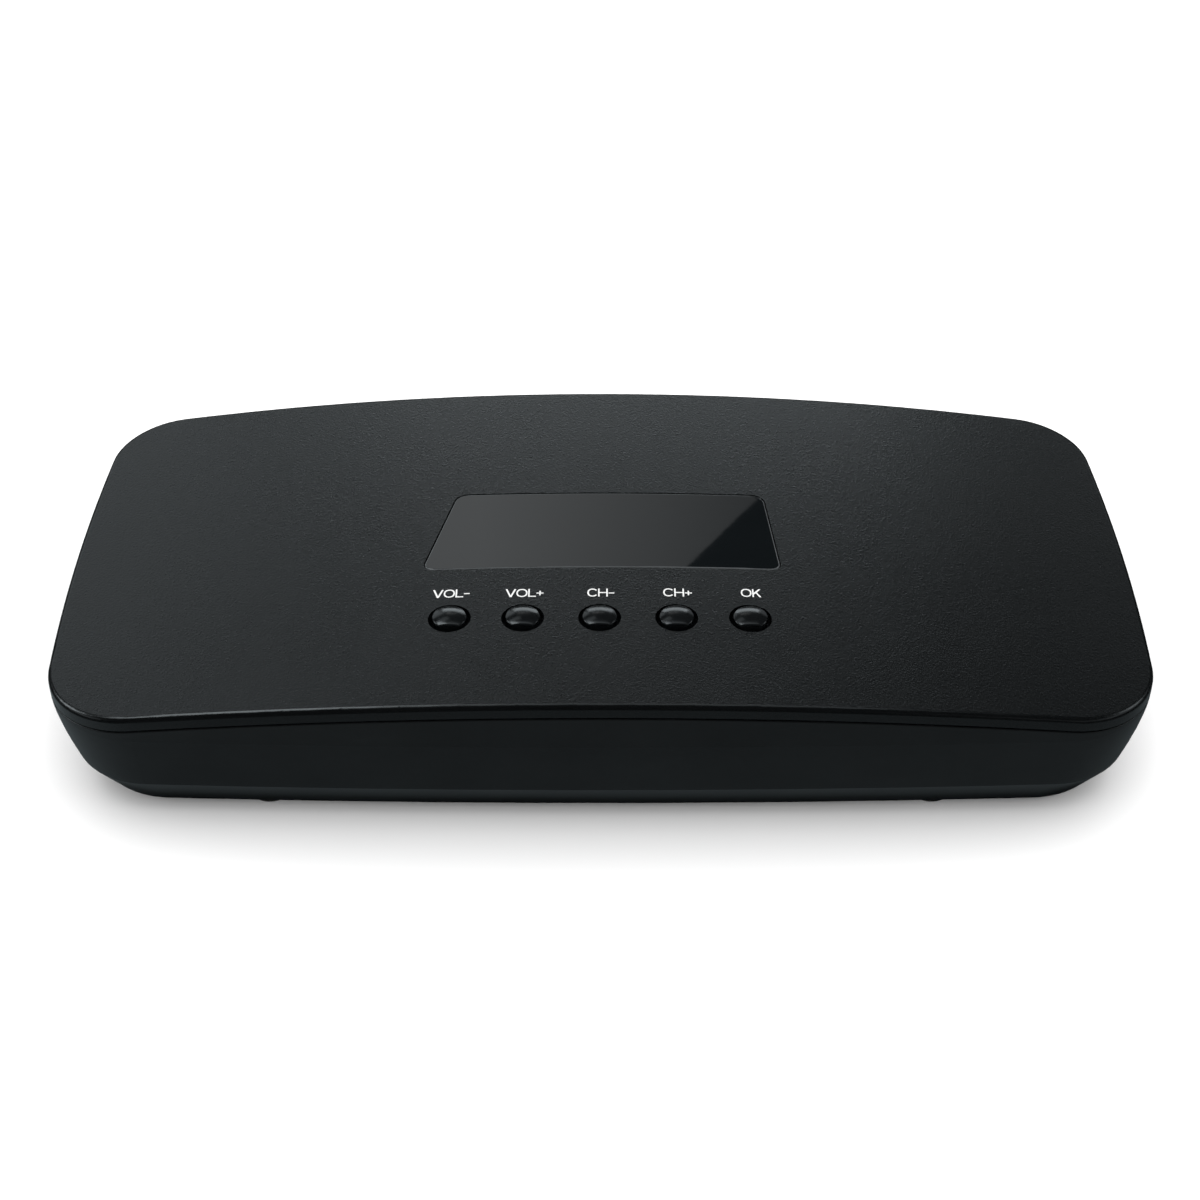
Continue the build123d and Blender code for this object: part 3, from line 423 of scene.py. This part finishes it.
def smooth_by_angle(ob, degrees):
    """Smooth shading with sharp edges above an angle."""
    me = ob.data
    bm = bmesh.new()
    bm.from_mesh(me)
    limit = math.radians(degrees)
    for f in bm.faces:
        f.smooth = True
    for e in bm.edges:
        e.smooth = len(e.link_faces) != 2 or e.calc_face_angle(0.0) < limit
    bm.to_mesh(me)
    bm.free()


# ---- the printed legends, drawn from plain strokes on the crowned cover
T = 0.30        # stroke
H = 2.52        # capital height


def ring(w, h, k=2.25, n=40, t=T):
    out, inn = [], []
    for i in range(n):
        a = 2 * math.pi * i / n
        c, s = math.cos(a), math.sin(a)
        d = (abs(c) ** k + abs(s) ** k) ** (-1 / k)
        out.append((w / 2 + w / 2 * c * d, h / 2 + h / 2 * s * d))
        inn.append((w / 2 + (w / 2 - t) * c * d, h / 2 + (h / 2 - t) * s * d))
    return out, inn


def glyph(ch):
    """(width, list of closed quads or polygons in mm) of one character."""
    if ch == "V":
        w, q = 2.12, 0.355
        s = (w / 2 - q) / (w / 2 - q / 2)
        return w, [[(0, H), (w / 2 - q / 2, 0), (w / 2, 0), (w / 2, H * (1 - s)), (q, H)],
                   [(w / 2, 0), (w / 2 + q / 2, 0), (w, H), (w - q, H), (w / 2, H * (1 - s))]]
    if ch == "O":
        w = 2.24
        out, inn = ring(w, H)
        n = len(out)
        return w, [[out[i], out[(i + 1) % n], inn[(i + 1) % n], inn[i]] for i in range(n)]
    if ch == "C":
        w = 2.12
        out, inn = ring(w, H, n=48)
        quads = []
        lo, hi = 5, 43
        for i in range(lo, hi):
            quads.append([out[i], out[i + 1], inn[i + 1], inn[i]])
        return w - 0.08, quads
    if ch == "L":
        w = 1.56
        return w, [[(0, 0), (w, 0), (w, T), (T, T), (0, T)], [(0, T), (T, T), (T, H), (0, H)]]
    if ch == "H":
        w, m0, m1 = 1.95, H / 2 - T / 2, H / 2 + T / 2
        return w, [[(0, 0), (T, 0), (T, m0), (T, m1), (T, H), (0, H)],
                   [(T, m0), (w - T, m0), (w - T, m1), (T, m1)],
                   [(w - T, 0), (w, 0), (w, H), (w - T, H), (w - T, m1), (w - T, m0)]]
    if ch == "K":
        w = 1.86
        return w, [[(0, 0), (T, 0), (T, 0.80), (T, 1.30), (T, H), (0, H)],
                   [(T, 0.80), (0.77, 1.22), (0.99, 1.46), (1.80, H), (1.38, H), (T, 1.30)],
                   [(0.77, 1.22), (1.44, 0), (1.86, 0), (0.99, 1.46)]]
    if ch == "+":
        w, a, m = 1.42, 0.28, 1.16
        x0, x1, y0, y1 = w / 2 - a / 2, w / 2 + a / 2, m - a / 2, m + a / 2
        return w, [[(0, y0), (x0, y0), (x0, y1), (0, y1)],
                   [(x0, m - w / 2), (x1, m - w / 2), (x1, y0), (x0, y0)],
                   [(x0, y0), (x1, y0), (x1, y1), (x0, y1)],
                   [(x0, y1), (x1, y1), (x1, m + w / 2), (x0, m + w / 2)],
                   [(x1, y0), (w, y0), (w, y1), (x1, y1)]]
    if ch == "-":
        w, a, m = 1.18, 0.28, 1.12
        return w, [[(0, m - a / 2), (w, m - a / 2), (w, m + a / 2), (0, m + a / 2)]]
    raise ValueError(ch)


def legend(name, text, x0, x1, y_mid):
    """Thin raised print: text fitted between x0 and x1, following the crown."""
    gap = {"VO": 0.06, "OL": 0.14, "L-": 0.10, "L+": 0.10, "CH": 0.14, "H-": 0.16, "H+": 0.14, "OK": 0.16}
    at, placed = 0.0, []
    for i, ch in enumerate(text):
        w, quads = glyph(ch)
        placed.append((at, quads))
        at += w + (gap.get(text[i:i + 2], 0.12) if i + 1 < len(text) else 0.0)
    k = (x1 - x0) / at
    bm = bmesh.new()
    seen = {}

    def vert(x, y):
        key = (round(x, 4), round(y, 4))
        if key not in seen:
            seen[key] = bm.verts.new((x * MM, y * MM, (crown_z(x) + 0.028) * MM))
        return seen[key]

    for off, quads in placed:
        for q in quads:
            loop = []
            for px, py in q:
                v = vert(x0 + (off + px) * k, y_mid + case_y - H / 2 + py)
                if v not in loop:
                    loop.append(v)
            bm.faces.new(loop)
    top = list(bm.faces)
    made = bmesh.ops.extrude_face_region(bm, geom=top)
    for v in [g for g in made["geom"] if isinstance(g, bmesh.types.BMVert)]:
        v.co.z = (crown_z(v.co.x / MM) - 0.03) * MM
    ob = finish_mesh(name, bm, "white_print")
    return ob


for name, text, x0, x1, y in (
    ("legend_vol_down", "VOL-", -33.63, -26.21, -18.9),
    ("legend_vol_up", "VOL+", -19.05, -11.42, -19.2),
    ("legend_ch_down", "CH-", -2.66, 2.74, -19.25),
    ("legend_ch_up", "CH+", 12.52, 18.28, -19.05),
    ("legend_ok", "OK", 28.1, 32.15, -18.7),
):
    legend(name, text, x0, x1, y)


# ---- threaded barrels of the two F connectors
def threaded_barrel(name, x, z, node):
    """A lathe-cut F barrel: 3/8-32 thread, lead-in chamfer, smooth undercut,
    and the bore that holds the insulator."""
    n, pitch, r_major, depth = 96, 0.794, 4.76, 0.43
    y_face, y_nut, y_tip = 43.3, 47.6, 57.0
    rows = []
    y = y_nut
    step = pitch / 8
    count = int(round((y_tip - 0.36 - y_nut) / step))
    step = (y_tip - 0.36 - y_nut) / count
    bm = bmesh.new()

    def circle(yy, radius_at):
        row = []
        for i in range(n):
            a = 2 * math.pi * i / n
            r = radius_at(a)
            row.append(bm.verts.new(((x + r * math.cos(a)) * MM, (case_y + yy) * MM, (z + r * math.sin(a)) * MM)))
        rows.append(row)

    circle(y_face, lambda a: 3.6)
    circle(y_face, lambda a: 4.3)
    circle(y_nut - 0.02, lambda a: 4.3)

    def thread(yy, fade):
        def radius(a):
            t = (yy / pitch - a / (2 * math.pi)) % 1.0
            tooth = abs(t - 0.5) * 2                      # 0 at the crest
            cut = min(1.0, max(0.0, (tooth - 0.12) / 0.76))
            return r_major - depth * cut * fade
        return radius

    for i in range(count + 1):
        yy = y_nut + i * step
        fade = min(1.0, (yy - y_nut) / 0.5, (y_tip - 0.30 - yy) / 0.5)
        circle(yy, thread(yy, max(0.0, fade)))
    circle(y_tip - 0.14, lambda a: 4.58)
    circle(y_tip, lambda a: 4.4)
    circle(y_tip, lambda a: 3.9)
    circle(y_tip - 0.3, lambda a: 3.6)
    rows.append(rows[0])
    for a, b in zip(rows, rows[1:]):
        for i in range(n):
            j = (i + 1) % n
            bm.faces.new((a[i], a[j], b[j], b[i]))
    ob = finish_mesh(name, bm, "nickel")
    smooth_by_angle(ob, 40)
    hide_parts(node)
    return ob


threaded_barrel("thread_lnb_in", 66.0, 17.1, "f_connector_lnb_in")
threaded_barrel("thread_loop_out", 48.0, 17.1, "f_connector_loop_out")


def arc(cy, cr, radius, a0, a1, steps=5):
    """Points (y, r) of a small round in a lathe profile."""
    out = []
    for i in range(steps + 1):
        a = math.radians(a0 + (a1 - a0) * i / steps)
        out.append((cy + radius * math.cos(a), cr + radius * math.sin(a)))
    return out


def turned(name, bodies, material, n=96, node=None, sharp=28):
    """Turned bodies in one piece. Each is (x, z, closed profile of (y, r)),
    with y measured from the casing's middle."""
    bm = bmesh.new()
    for x, z, profile in bodies:
        rows = []
        for y, r in profile:
            row = []
            for i in range(n):
                a = 2 * math.pi * i / n
                row.append(bm.verts.new(((x + r * math.cos(a)) * MM, (case_y + y) * MM, (z + r * math.sin(a)) * MM)))
            rows.append(row)
        for a, b in zip(rows, rows[1:] + rows[:1]):
            for i in range(n):
                j = (i + 1) % n
                bm.faces.new((a[i], a[j], b[j], b[i]))
    ob = finish_mesh(name, bm, material)
    smooth_by_angle(ob, sharp)
    if node:
        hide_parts(node)
    return ob


# ---- hexagon nuts with turned corners, on lock washers with their teeth
def hex_nuts():
    bm = bmesh.new()
    n = 144
    corner, flat = 6.34, 6.34 * math.cos(math.radians(30))
    y0, y1 = 45.5, 47.5

    def rows_to_faces(rows):
        for a, b in zip(rows, rows[1:] + rows[:1]):
            for i in range(n):
                j = (i + 1) % n
                bm.faces.new((a[i], a[j], b[j], b[i]))

    for x in (66.0, 48.0):
        def circle(y_at, r_at):
            row = []
            for i in range(n):
                a = 2 * math.pi * i / n
                row.append(bm.verts.new(((x + r_at(a) * math.cos(a)) * MM, (case_y + y_at(a)) * MM, (17.1 + r_at(a) * math.sin(a)) * MM)))
            return row

        def across(a):
            t = (a + math.radians(30)) % math.radians(60) - math.radians(30)
            return flat / math.cos(math.radians(30) - abs(t))

        def drop(a, start=5.62):
            return max(0.0, (across(a) - start) * math.tan(math.radians(30)))

        rows_to_faces([
            circle(lambda a: y0, lambda a: 4.33),
            circle(lambda a: y0, lambda a: min(across(a), 5.62)),
            circle(lambda a: y0 + drop(a) * 0.7, across),
            circle(lambda a: y1 - drop(a), across),
            circle(lambda a: y1, lambda a: min(across(a), 5.62)),
            circle(lambda a: y1, lambda a: 4.85),
            circle(lambda a: y1 - 0.35, lambda a: 4.5),
            circle(lambda a: y1 - 0.35, lambda a: 4.33),
        ])

        def tooth(a):
            t = (a * 18 / (2 * math.pi)) % 1.0
            return 6.58 if t < 0.62 else 6.0

        def twist(side):
            def y_at(a):
                t = (a * 18 / (2 * math.pi)) % 1.0
                return 45.25 + side * 0.16 + (0.10 * (t / 0.62 - 0.5) if t < 0.62 else 0.0)
            return y_at

        rows_to_faces([
            circle(lambda a: 45.06, lambda a: 4.33),
            circle(lambda a: 45.06, lambda a: 5.7),
            circle(twist(-1), tooth),
            circle(twist(1), tooth),
            circle(lambda a: 45.46, lambda a: 5.7),
            circle(lambda a: 45.46, lambda a: 4.33),
        ])
    ob = finish_mesh("hex_nuts", bm, "nickel")
    smooth_by_angle(ob, 22)
    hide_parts("f_connector_nuts")


hex_nuts()


# ---- moulded and pressed parts get their small edge rounds as modifiers
def soften(node, width, angle=38, segments=2):
    ob = nodes[node]
    weld = ob.modifiers.new("weld", "WELD")
    weld.merge_threshold = 0.000002
    bevel = ob.modifiers.new("round", "BEVEL")
    bevel.limit_method = "ANGLE"
    bevel.angle_limit = math.radians(angle)
    bevel.width = width * MM
    bevel.segments = segments
    bevel.harden_normals = True


for node, width in (
    ("dc_socket", 0.22), ("usb_shell", 0.10), ("hdmi_shell", 0.12), ("usb_tongue", 0.12),
    ("hdmi_tongue", 0.10), ("power_rocker", 0.22), ("rear_panel", 0.10), ("heatsink", 0.08),
):
    soften(node, width)

# ---- insulators with a funnel, and the sprung contact inside each
turned("insulators", [
    (x, 17.1, [(43.4, 0.66), (43.4, 3.57)] + arc(56.0, 3.37, 0.2, 90, 0) + arc(56.0, 1.35, 0.2, 0, -45, 3) + [(55.7, 0.66)])
    for x in (66.0, 48.0)
], "insulator", node="f_connector_insulators")
turned("centre_contacts", [
    (x, 17.1, [(50.0, 0.36), (50.0, 0.62), (55.35, 0.62), (55.5, 0.55), (55.5, 0.42), (55.4, 0.36)])
    for x in (66.0, 48.0)
], "gold", n=32)

# ---- phono sockets: rolled shells, moulded cores, tubular contacts
turned("phono_shells", [
    (x, 17.0, [(43.8, 3.61), (43.8, 3.84), (46.42, 3.84)] + arc(46.6, 3.97, 0.17, 180, 90, 4) + arc(53.9, 3.86, 0.28, 90, 0) + arc(53.98, 3.80, 0.19, 0, -90))
    for x in (-11.0, -25.0, -39.0)
], "nickel", node="av_socket_shells")
for x, material, node in ((-11.0, "core_yellow", "av_socket_video"), (-25.0, "core_white", "av_socket_audio_left"), (-39.0, "core_red", "av_socket_audio_right")):
    turned("phono_" + material, [
        (x, 17.0, [(43.42, 1.66), (43.42, 5.18)] + arc(45.9, 4.8, 0.38, 90, 0) + arc(46.1, 4.08, 0.18, 0, -90, 4)
         + [(43.8, 3.9), (43.8, 3.55)] + arc(53.25, 3.2, 0.34, 90, 0) + [(53.59, 2.35), (53.2, 1.95)] + [(52.6, 1.66)])
    ], material, node=node)
turned("phono_contacts", [
    (x, 17.0, [(44.2, 1.38), (44.2, 1.64), (52.4, 1.64), (52.55, 1.58), (52.55, 1.44), (52.45, 1.38)])
    for x in (-11.0, -25.0, -39.0)
], "nickel", n=64)

# ---- contact strips of the two digital sockets
def strips(name, boxes, material):
    """Thin raised strips; each box is (x0, x1, y0, y1, z0, z1) in mm."""
    bm = bmesh.new()
    for x0, x1, y0, y1, z0, z1 in boxes:
        b = min(x1 - x0, 0.3) * 0.25
        lo, hi = z0, z1
        base = [(x0, y0), (x1, y0), (x1, y1), (x0, y1)]
        top = [(x0 + b, y0), (x1 - b, y0), (x1 - b, y1 - 0.25), (x0 + b, y1 - 0.25)]
        vb = [bm.verts.new((px * MM, (case_y + py) * MM, lo * MM)) for px, py in base]
        vt = [bm.verts.new((px * MM, (case_y + py) * MM, hi * MM)) for px, py in top]
        bm.faces.new(vb)
        bm.faces.new(vt)
        for i in range(4):
            j = (i + 1) % 4
            bm.faces.new((vb[i], vb[j], vt[j], vt[i]))
    return finish_mesh(name, bm, material)


usb_low = 14.2 + 1.0 - 0.95
strips("usb_contacts", [
    (27.0 + dx - w / 2, 27.0 + dx + w / 2, 36.5, end, usb_low + 0.03, usb_low - 0.10)
    for dx, w, end in ((-3.5, 1.0, 44.5), (-1.0, 1.0, 43.6), (1.0, 1.0, 43.6), (3.5, 1.0, 44.5))
], "gold")
hdmi_mid = 13.9 + 0.5
strips("hdmi_contacts",
       [(7.0 - 4.5 + i, 7.0 - 4.5 + i + 0.45, 36.5, 44.4, hdmi_mid - 0.72, hdmi_mid - 0.80) for i in range(10)]
       + [(7.0 - 4.0 + i, 7.0 - 4.0 + i + 0.45, 36.5, 44.4, hdmi_mid + 0.72, hdmi_mid + 0.80) for i in range(9)],
       "gold")


# ---- the on and off marks on the power rocker, on its two tilted faces
def rocker_marks():
    lean = math.radians(8.0)
    pivot = Vector((-68.0, case_y + 42.8, 18.2))
    out_dir = Vector((0, math.cos(lean), math.sin(lean)))
    up_dir = Vector((0, -math.sin(lean), math.cos(lean)))
    side = Vector((-1, 0, 0))
    bm = bmesh.new()

    def place(u, v, lift):
        face = 3.5 + 0.7 * abs(v) / 5.7
        return (pivot + side * u + up_dir * v + out_dir * (face + lift)) * MM

    def prism(loop):
        top = [bm.verts.new(place(u, v, 0.03)) for u, v in loop]
        low = [bm.verts.new(place(u, v, -0.04)) for u, v in loop]
        bm.faces.new(top)
        bm.faces.new(low[::-1])
        for i in range(len(loop)):
            j = (i + 1) % len(loop)
            bm.faces.new((top[i], low[i], low[j], top[j]))

    prism([(-0.22, 1.9), (0.22, 1.9), (0.22, 4.3), (-0.22, 4.3)])
    n = 40
    outer = [(1.2 * math.cos(2 * math.pi * i / n), -3.1 + 1.2 * math.sin(2 * math.pi * i / n)) for i in range(n)]
    inner = [(0.78 * math.cos(2 * math.pi * i / n), -3.1 + 0.78 * math.sin(2 * math.pi * i / n)) for i in range(n)]
    grid = {}
    for k, loop in (("o", outer), ("i", inner)):
        for i, (u, v) in enumerate(loop):
            grid[k, "t", i] = bm.verts.new(place(u, v, 0.03))
            grid[k, "b", i] = bm.verts.new(place(u, v, -0.04))
    for i in range(n):
        j = (i + 1) % n
        bm.faces.new((grid["o", "t", i], grid["o", "t", j], grid["i", "t", j], grid["i", "t", i]))
        bm.faces.new((grid["o", "b", i], grid["i", "b", i], grid["i", "b", j], grid["o", "b", j]))
        bm.faces.new((grid["o", "t", i], grid["o", "b", i], grid["o", "b", j], grid["o", "t", j]))
        bm.faces.new((grid["i", "t", i], grid["i", "t", j], grid["i", "b", j], grid["i", "b", i]))
    finish_mesh("rocker_marks", bm, "white_print", body="power_rocker_body")


rocker_marks()


# -------------------------------------------------------------------- camera
cam_data = bpy.data.cameras.new("camera")
cam = bpy.data.objects.new("camera", cam_data)
scene.collection.objects.link(cam)
cam_data.sensor_fit = "HORIZONTAL"
cam_data.sensor_width = 36.0
cam_data.lens = 2140.79 / 1200 * 36.0
cam_data.clip_start = 0.01
cam_data.clip_end = 50.0
cam.location = (-0.00013, -0.35572, 0.301358)
cam.rotation_euler = (math.radians(90 - 38.814), 0.0, 0.0)
scene.camera = cam

# --------------------------------------------------------------------- floor
bm = bmesh.new()
bmesh.ops.create_grid(bm, x_segments=2, y_segments=2, size=6.0)
me = bpy.data.meshes.new("floor")
bm.to_mesh(me)
bm.free()
floor = bpy.data.objects.new("floor", me)
scene.collection.objects.link(floor)
fl = Mat("floor", spec=0.0)
fl.color(fl.mix(fl.noise(3.0, 2.0), (0.86, 0.86, 0.86), (0.88, 0.88, 0.88)))
fl.p.inputs["Roughness"].default_value = 1.0
# Painted reflection of a dim table: glossy rays see this emission instead of the lit floor,
# darkest under the base (painted contact shadow), brightest just outside it, lighter
# towards the left, and fading out again a hand's width away.
px, py = fl.xyz()["X"], fl.math("ADD", fl.xyz()["Y"], 0.00175)
ax, ay = fl.math("ABSOLUTE", px), fl.math("ABSOLUTE", py)
bow_x = fl.math("MULTIPLY", fl.math("POWER", fl.math("DIVIDE", ay, 0.0535), 2.0), 0.0028)
bow_y = fl.math("MULTIPLY", fl.math("POWER", fl.math("DIVIDE", ax, 0.110), 2.0), 0.0027)
qx = fl.math("MAXIMUM", fl.math("SUBTRACT", fl.math("ADD", ax, bow_x), 0.092), 0.0)
qy = fl.math("MAXIMUM", fl.math("SUBTRACT", fl.math("ADD", ay, bow_y), 0.0355), 0.0)
away = fl.math("SUBTRACT", fl.math("SQRT", fl.math("ADD", fl.math("MULTIPLY", qx, qx), fl.math("MULTIPLY", qy, qy))), 0.018)
glow = fl.math("ADD", fl.ramp(away, -0.0061, -0.0034, 0.008, 0.28), fl.ramp(away, -0.0031, -0.0018, 0.0, -0.19))
glow = fl.math("ADD", glow, fl.ramp(away, 0.0, 0.006, 0.0, 0.035))
glow = fl.math("ADD", glow, fl.ramp(away, 0.008, 0.030, 0.0, 0.03))
glow = fl.math("ADD", glow, fl.ramp(px, -0.085, -0.125, 0.0, 0.10))
glow = fl.math("MULTIPLY", glow, fl.ramp(away, 0.045, 0.075, 1.0, 0.12))
# the painted floor reflection: an emission shown to glossy rays only
dim = fl.add("ShaderNodeEmission")
dim.inputs["Color"].default_value = (0.84, 1.0, 1.06, 1.0)
fl.link(glow, dim.inputs["Strength"])
painted_reflection_mix = fl.add("ShaderNodeMixShader")
fl.link(fl.add("ShaderNodeLightPath").outputs["Is Glossy Ray"], painted_reflection_mix.inputs[0])
fl.link(fl.p.outputs[0], painted_reflection_mix.inputs[1])
fl.link(dim.outputs[0], painted_reflection_mix.inputs[2])
fl.link(painted_reflection_mix.outputs[0], fl.out.inputs["Surface"])
fl.m.cycles.emission_sampling = "NONE"
me.materials.append(fl.m)


# -------------------------------------------------------------------- lights
def panel(name, direction, distance, width, height, strength, roll=0.0, color=(1, 1, 1), diffuse=True, glossy=True):
    """A rectangular softbox, seen from the receiver in the direction
    (azimuth, elevation); azimuth 0 is behind the receiver, 90 to its right."""
    az, el = map(math.radians, direction)
    d = Vector((math.sin(az) * math.cos(el), math.cos(az) * math.cos(el), math.sin(el)))
    data = bpy.data.lights.new(name, "AREA")
    data.shape = "RECTANGLE"
    data.size, data.size_y = width, height
    data.energy = strength * width * height * math.pi
    data.color = color
    ob = bpy.data.objects.new(name, data)
    scene.collection.objects.link(ob)
    ob.location = d * distance
    ob.rotation_mode = "QUATERNION"
    q = d.to_track_quat("Z", "Y")
    ob.rotation_quaternion = q @ Matrix.Rotation(math.radians(roll), 3, "Z").to_quaternion()
    ob.visible_diffuse = diffuse
    ob.visible_glossy = glossy
    ob.visible_camera = False
    return ob


def emitter(name, corners, x0, x1, bright, dim):
    """A flat softbox of any outline, brighter at its left than at its right."""
    bm = bmesh.new()
    bm.faces.new([bm.verts.new(c) for c in corners])
    me = bpy.data.meshes.new(name)
    bm.to_mesh(me)
    bm.free()
    ob = bpy.data.objects.new(name, me)
    scene.collection.objects.link(ob)
    mat = bpy.data.materials.new(name)
    mat.use_nodes = True
    nt = mat.node_tree
    nt.nodes.clear()
    out = nt.nodes.new("ShaderNodeOutputMaterial")
    em = nt.nodes.new("ShaderNodeEmission")
    tc = nt.nodes.new("ShaderNodeTexCoord")
    sx = nt.nodes.new("ShaderNodeSeparateXYZ")
    mr = nt.nodes.new("ShaderNodeMapRange")
    nt.links.new(tc.outputs["Object"], sx.inputs[0])
    nt.links.new(sx.outputs["X"], mr.inputs["Value"])
    for k, v in (("From Min", x0), ("From Max", x1), ("To Min", bright), ("To Max", dim)):
        mr.inputs[k].default_value = v
    em.inputs["Color"].default_value = (0.97, 1.0, 1.01, 1.0)
    nt.links.new(mr.outputs["Result"], em.inputs["Strength"])
    nt.links.new(em.outputs[0], out.inputs["Surface"])
    me.materials.append(mat)
    ob.visible_camera = False
    ob.visible_shadow = False
    return ob


TINT = (0.91, 1.0, 1.04)
panel("overhead", (0, 88), 1.6, 1.7, 1.7, 2.1, glossy=False)
emitter("rear_window", [(-0.20, 0.9, 0.66), (0.1786, 0.9, 0.66), (0.0774, 0.9, 0.76), (-0.20, 0.9, 0.76)], -0.128, 0.188, 1.00, 0.28)
panel("rear_low", (1, 22.6), 1.1, 0.60, 0.27, 2.10, color=TINT, diffuse=False)
panel("rear_left", (-34, 25), 0.9, 0.44, 0.40, 0.72, color=TINT, diffuse=False)
panel("rear_right", (30, 21), 0.9, 0.40, 0.28, 0.36, color=TINT, diffuse=False)
panel("front_left", (-65, 64), 0.9, 0.40, 0.30, 4.0, color=TINT, diffuse=False)
panel("key_left", (-30, 55), 0.9, 0.34, 0.16, 0.55, color=TINT, diffuse=False)
panel("top_mid", (4, 79), 0.9, 0.60, 0.34, 0.75, color=TINT, diffuse=False)
panel("side_left", (-100, 20), 0.9, 0.7, 0.30, 0.6, color=TINT, diffuse=False)
panel("side_right", (100, 20), 0.9, 0.7, 0.30, 0.45, color=TINT, diffuse=False)
panel("front_right", (137, 17), 1.0, 0.7, 0.34, 0.22, color=TINT, diffuse=False)
panel("corner_left", (-78, 30), 0.9, 0.30, 0.26, 4.6, color=TINT, diffuse=False)
panel("corner_right", (78, 30), 0.9, 0.30, 0.26, 1.8, color=TINT, diffuse=False)


def sky(front_low, side_low, rear_low, ambient, dome):
    """Studio surroundings: a white dome for the soft light, pale to the camera,
    with dim walls in the reflections and a soft glow off the table that is
    stronger at the sides than in front."""
    world = bpy.data.worlds.new("studio")
    scene.world = world
    world.use_nodes = True
    world.cycles.sampling_method = "NONE"
    nt = world.node_tree
    nt.nodes.clear()
    add, link = nt.nodes.new, nt.links.new
    out = add("ShaderNodeOutputWorld")
    co = add("ShaderNodeTexCoord")
    s = add("ShaderNodeSeparateXYZ")
    link(co.outputs["Generated"], s.inputs[0])

    def mrange(v, a, b, lo=0.0, hi=1.0):
        n = add("ShaderNodeMapRange")
        n.interpolation_type = "SMOOTHSTEP"
        link(v, n.inputs["Value"])
        for k, x in (("From Min", a), ("From Max", b), ("To Min", lo), ("To Max", hi)):
            n.inputs[k].default_value = x
        return n.outputs["Result"]

    def op(kind, a, b):
        n = add("ShaderNodeMath")
        n.operation = kind
        for sock, v in zip(n.inputs, (a, b)):
            if hasattr(v, "is_output"):
                link(v, sock)
            else:
                sock.default_value = v
        return n.outputs[0]

    low = mrange(s.outputs["Z"], -0.30, -0.60)
    deep = mrange(s.outputs["Z"], -0.75, -0.98, 1.0, 0.25)
    aside = op("ABSOLUTE", s.outputs["X"], 0.0)
    side = mrange(aside, 0.10, 0.60)
    rear = mrange(s.outputs["Y"], 0.0, 0.4)
    glow = op("ADD", front_low, op("MULTIPLY", side, side_low - front_low))
    glow = op("ADD", glow, op("MULTIPLY", rear, rear_low))
    total = op("ADD", op("MULTIPLY", op("MULTIPLY", glow, low), deep), ambient)
    bg = add("ShaderNodeBackground")
    bg.inputs["Color"].default_value = (*TINT, 1.0)
    link(total, bg.inputs["Strength"])
    seen = add("ShaderNodeBackground")
    seen.inputs["Color"].default_value = (1, 1, 1, 1)
    seen.inputs["Strength"].default_value = 1.0
    soft = add("ShaderNodeBackground")
    soft.inputs["Color"].default_value = (1, 1, 1, 1)
    soft.inputs["Strength"].default_value = dome
    path = add("ShaderNodeLightPath")
    wide = add("ShaderNodeMixShader")
    link(path.outputs["Is Diffuse Ray"], wide.inputs[0])
    link(bg.outputs[0], wide.inputs[1])
    link(soft.outputs[0], wide.inputs[2])
    mix = add("ShaderNodeMixShader")
    link(path.outputs["Is Camera Ray"], mix.inputs[0])
    link(wide.outputs[0], mix.inputs[1])
    link(seen.outputs[0], mix.inputs[2])
    link(mix.outputs[0], out.inputs["Surface"])


sky(0.115, 0.34, 0.17, 0.018, 1.15)

scene.view_settings.view_transform = "Standard"
scene.view_settings.look = "None"
scene.view_settings.exposure = 0.0
scene.view_settings.gamma = 1.0
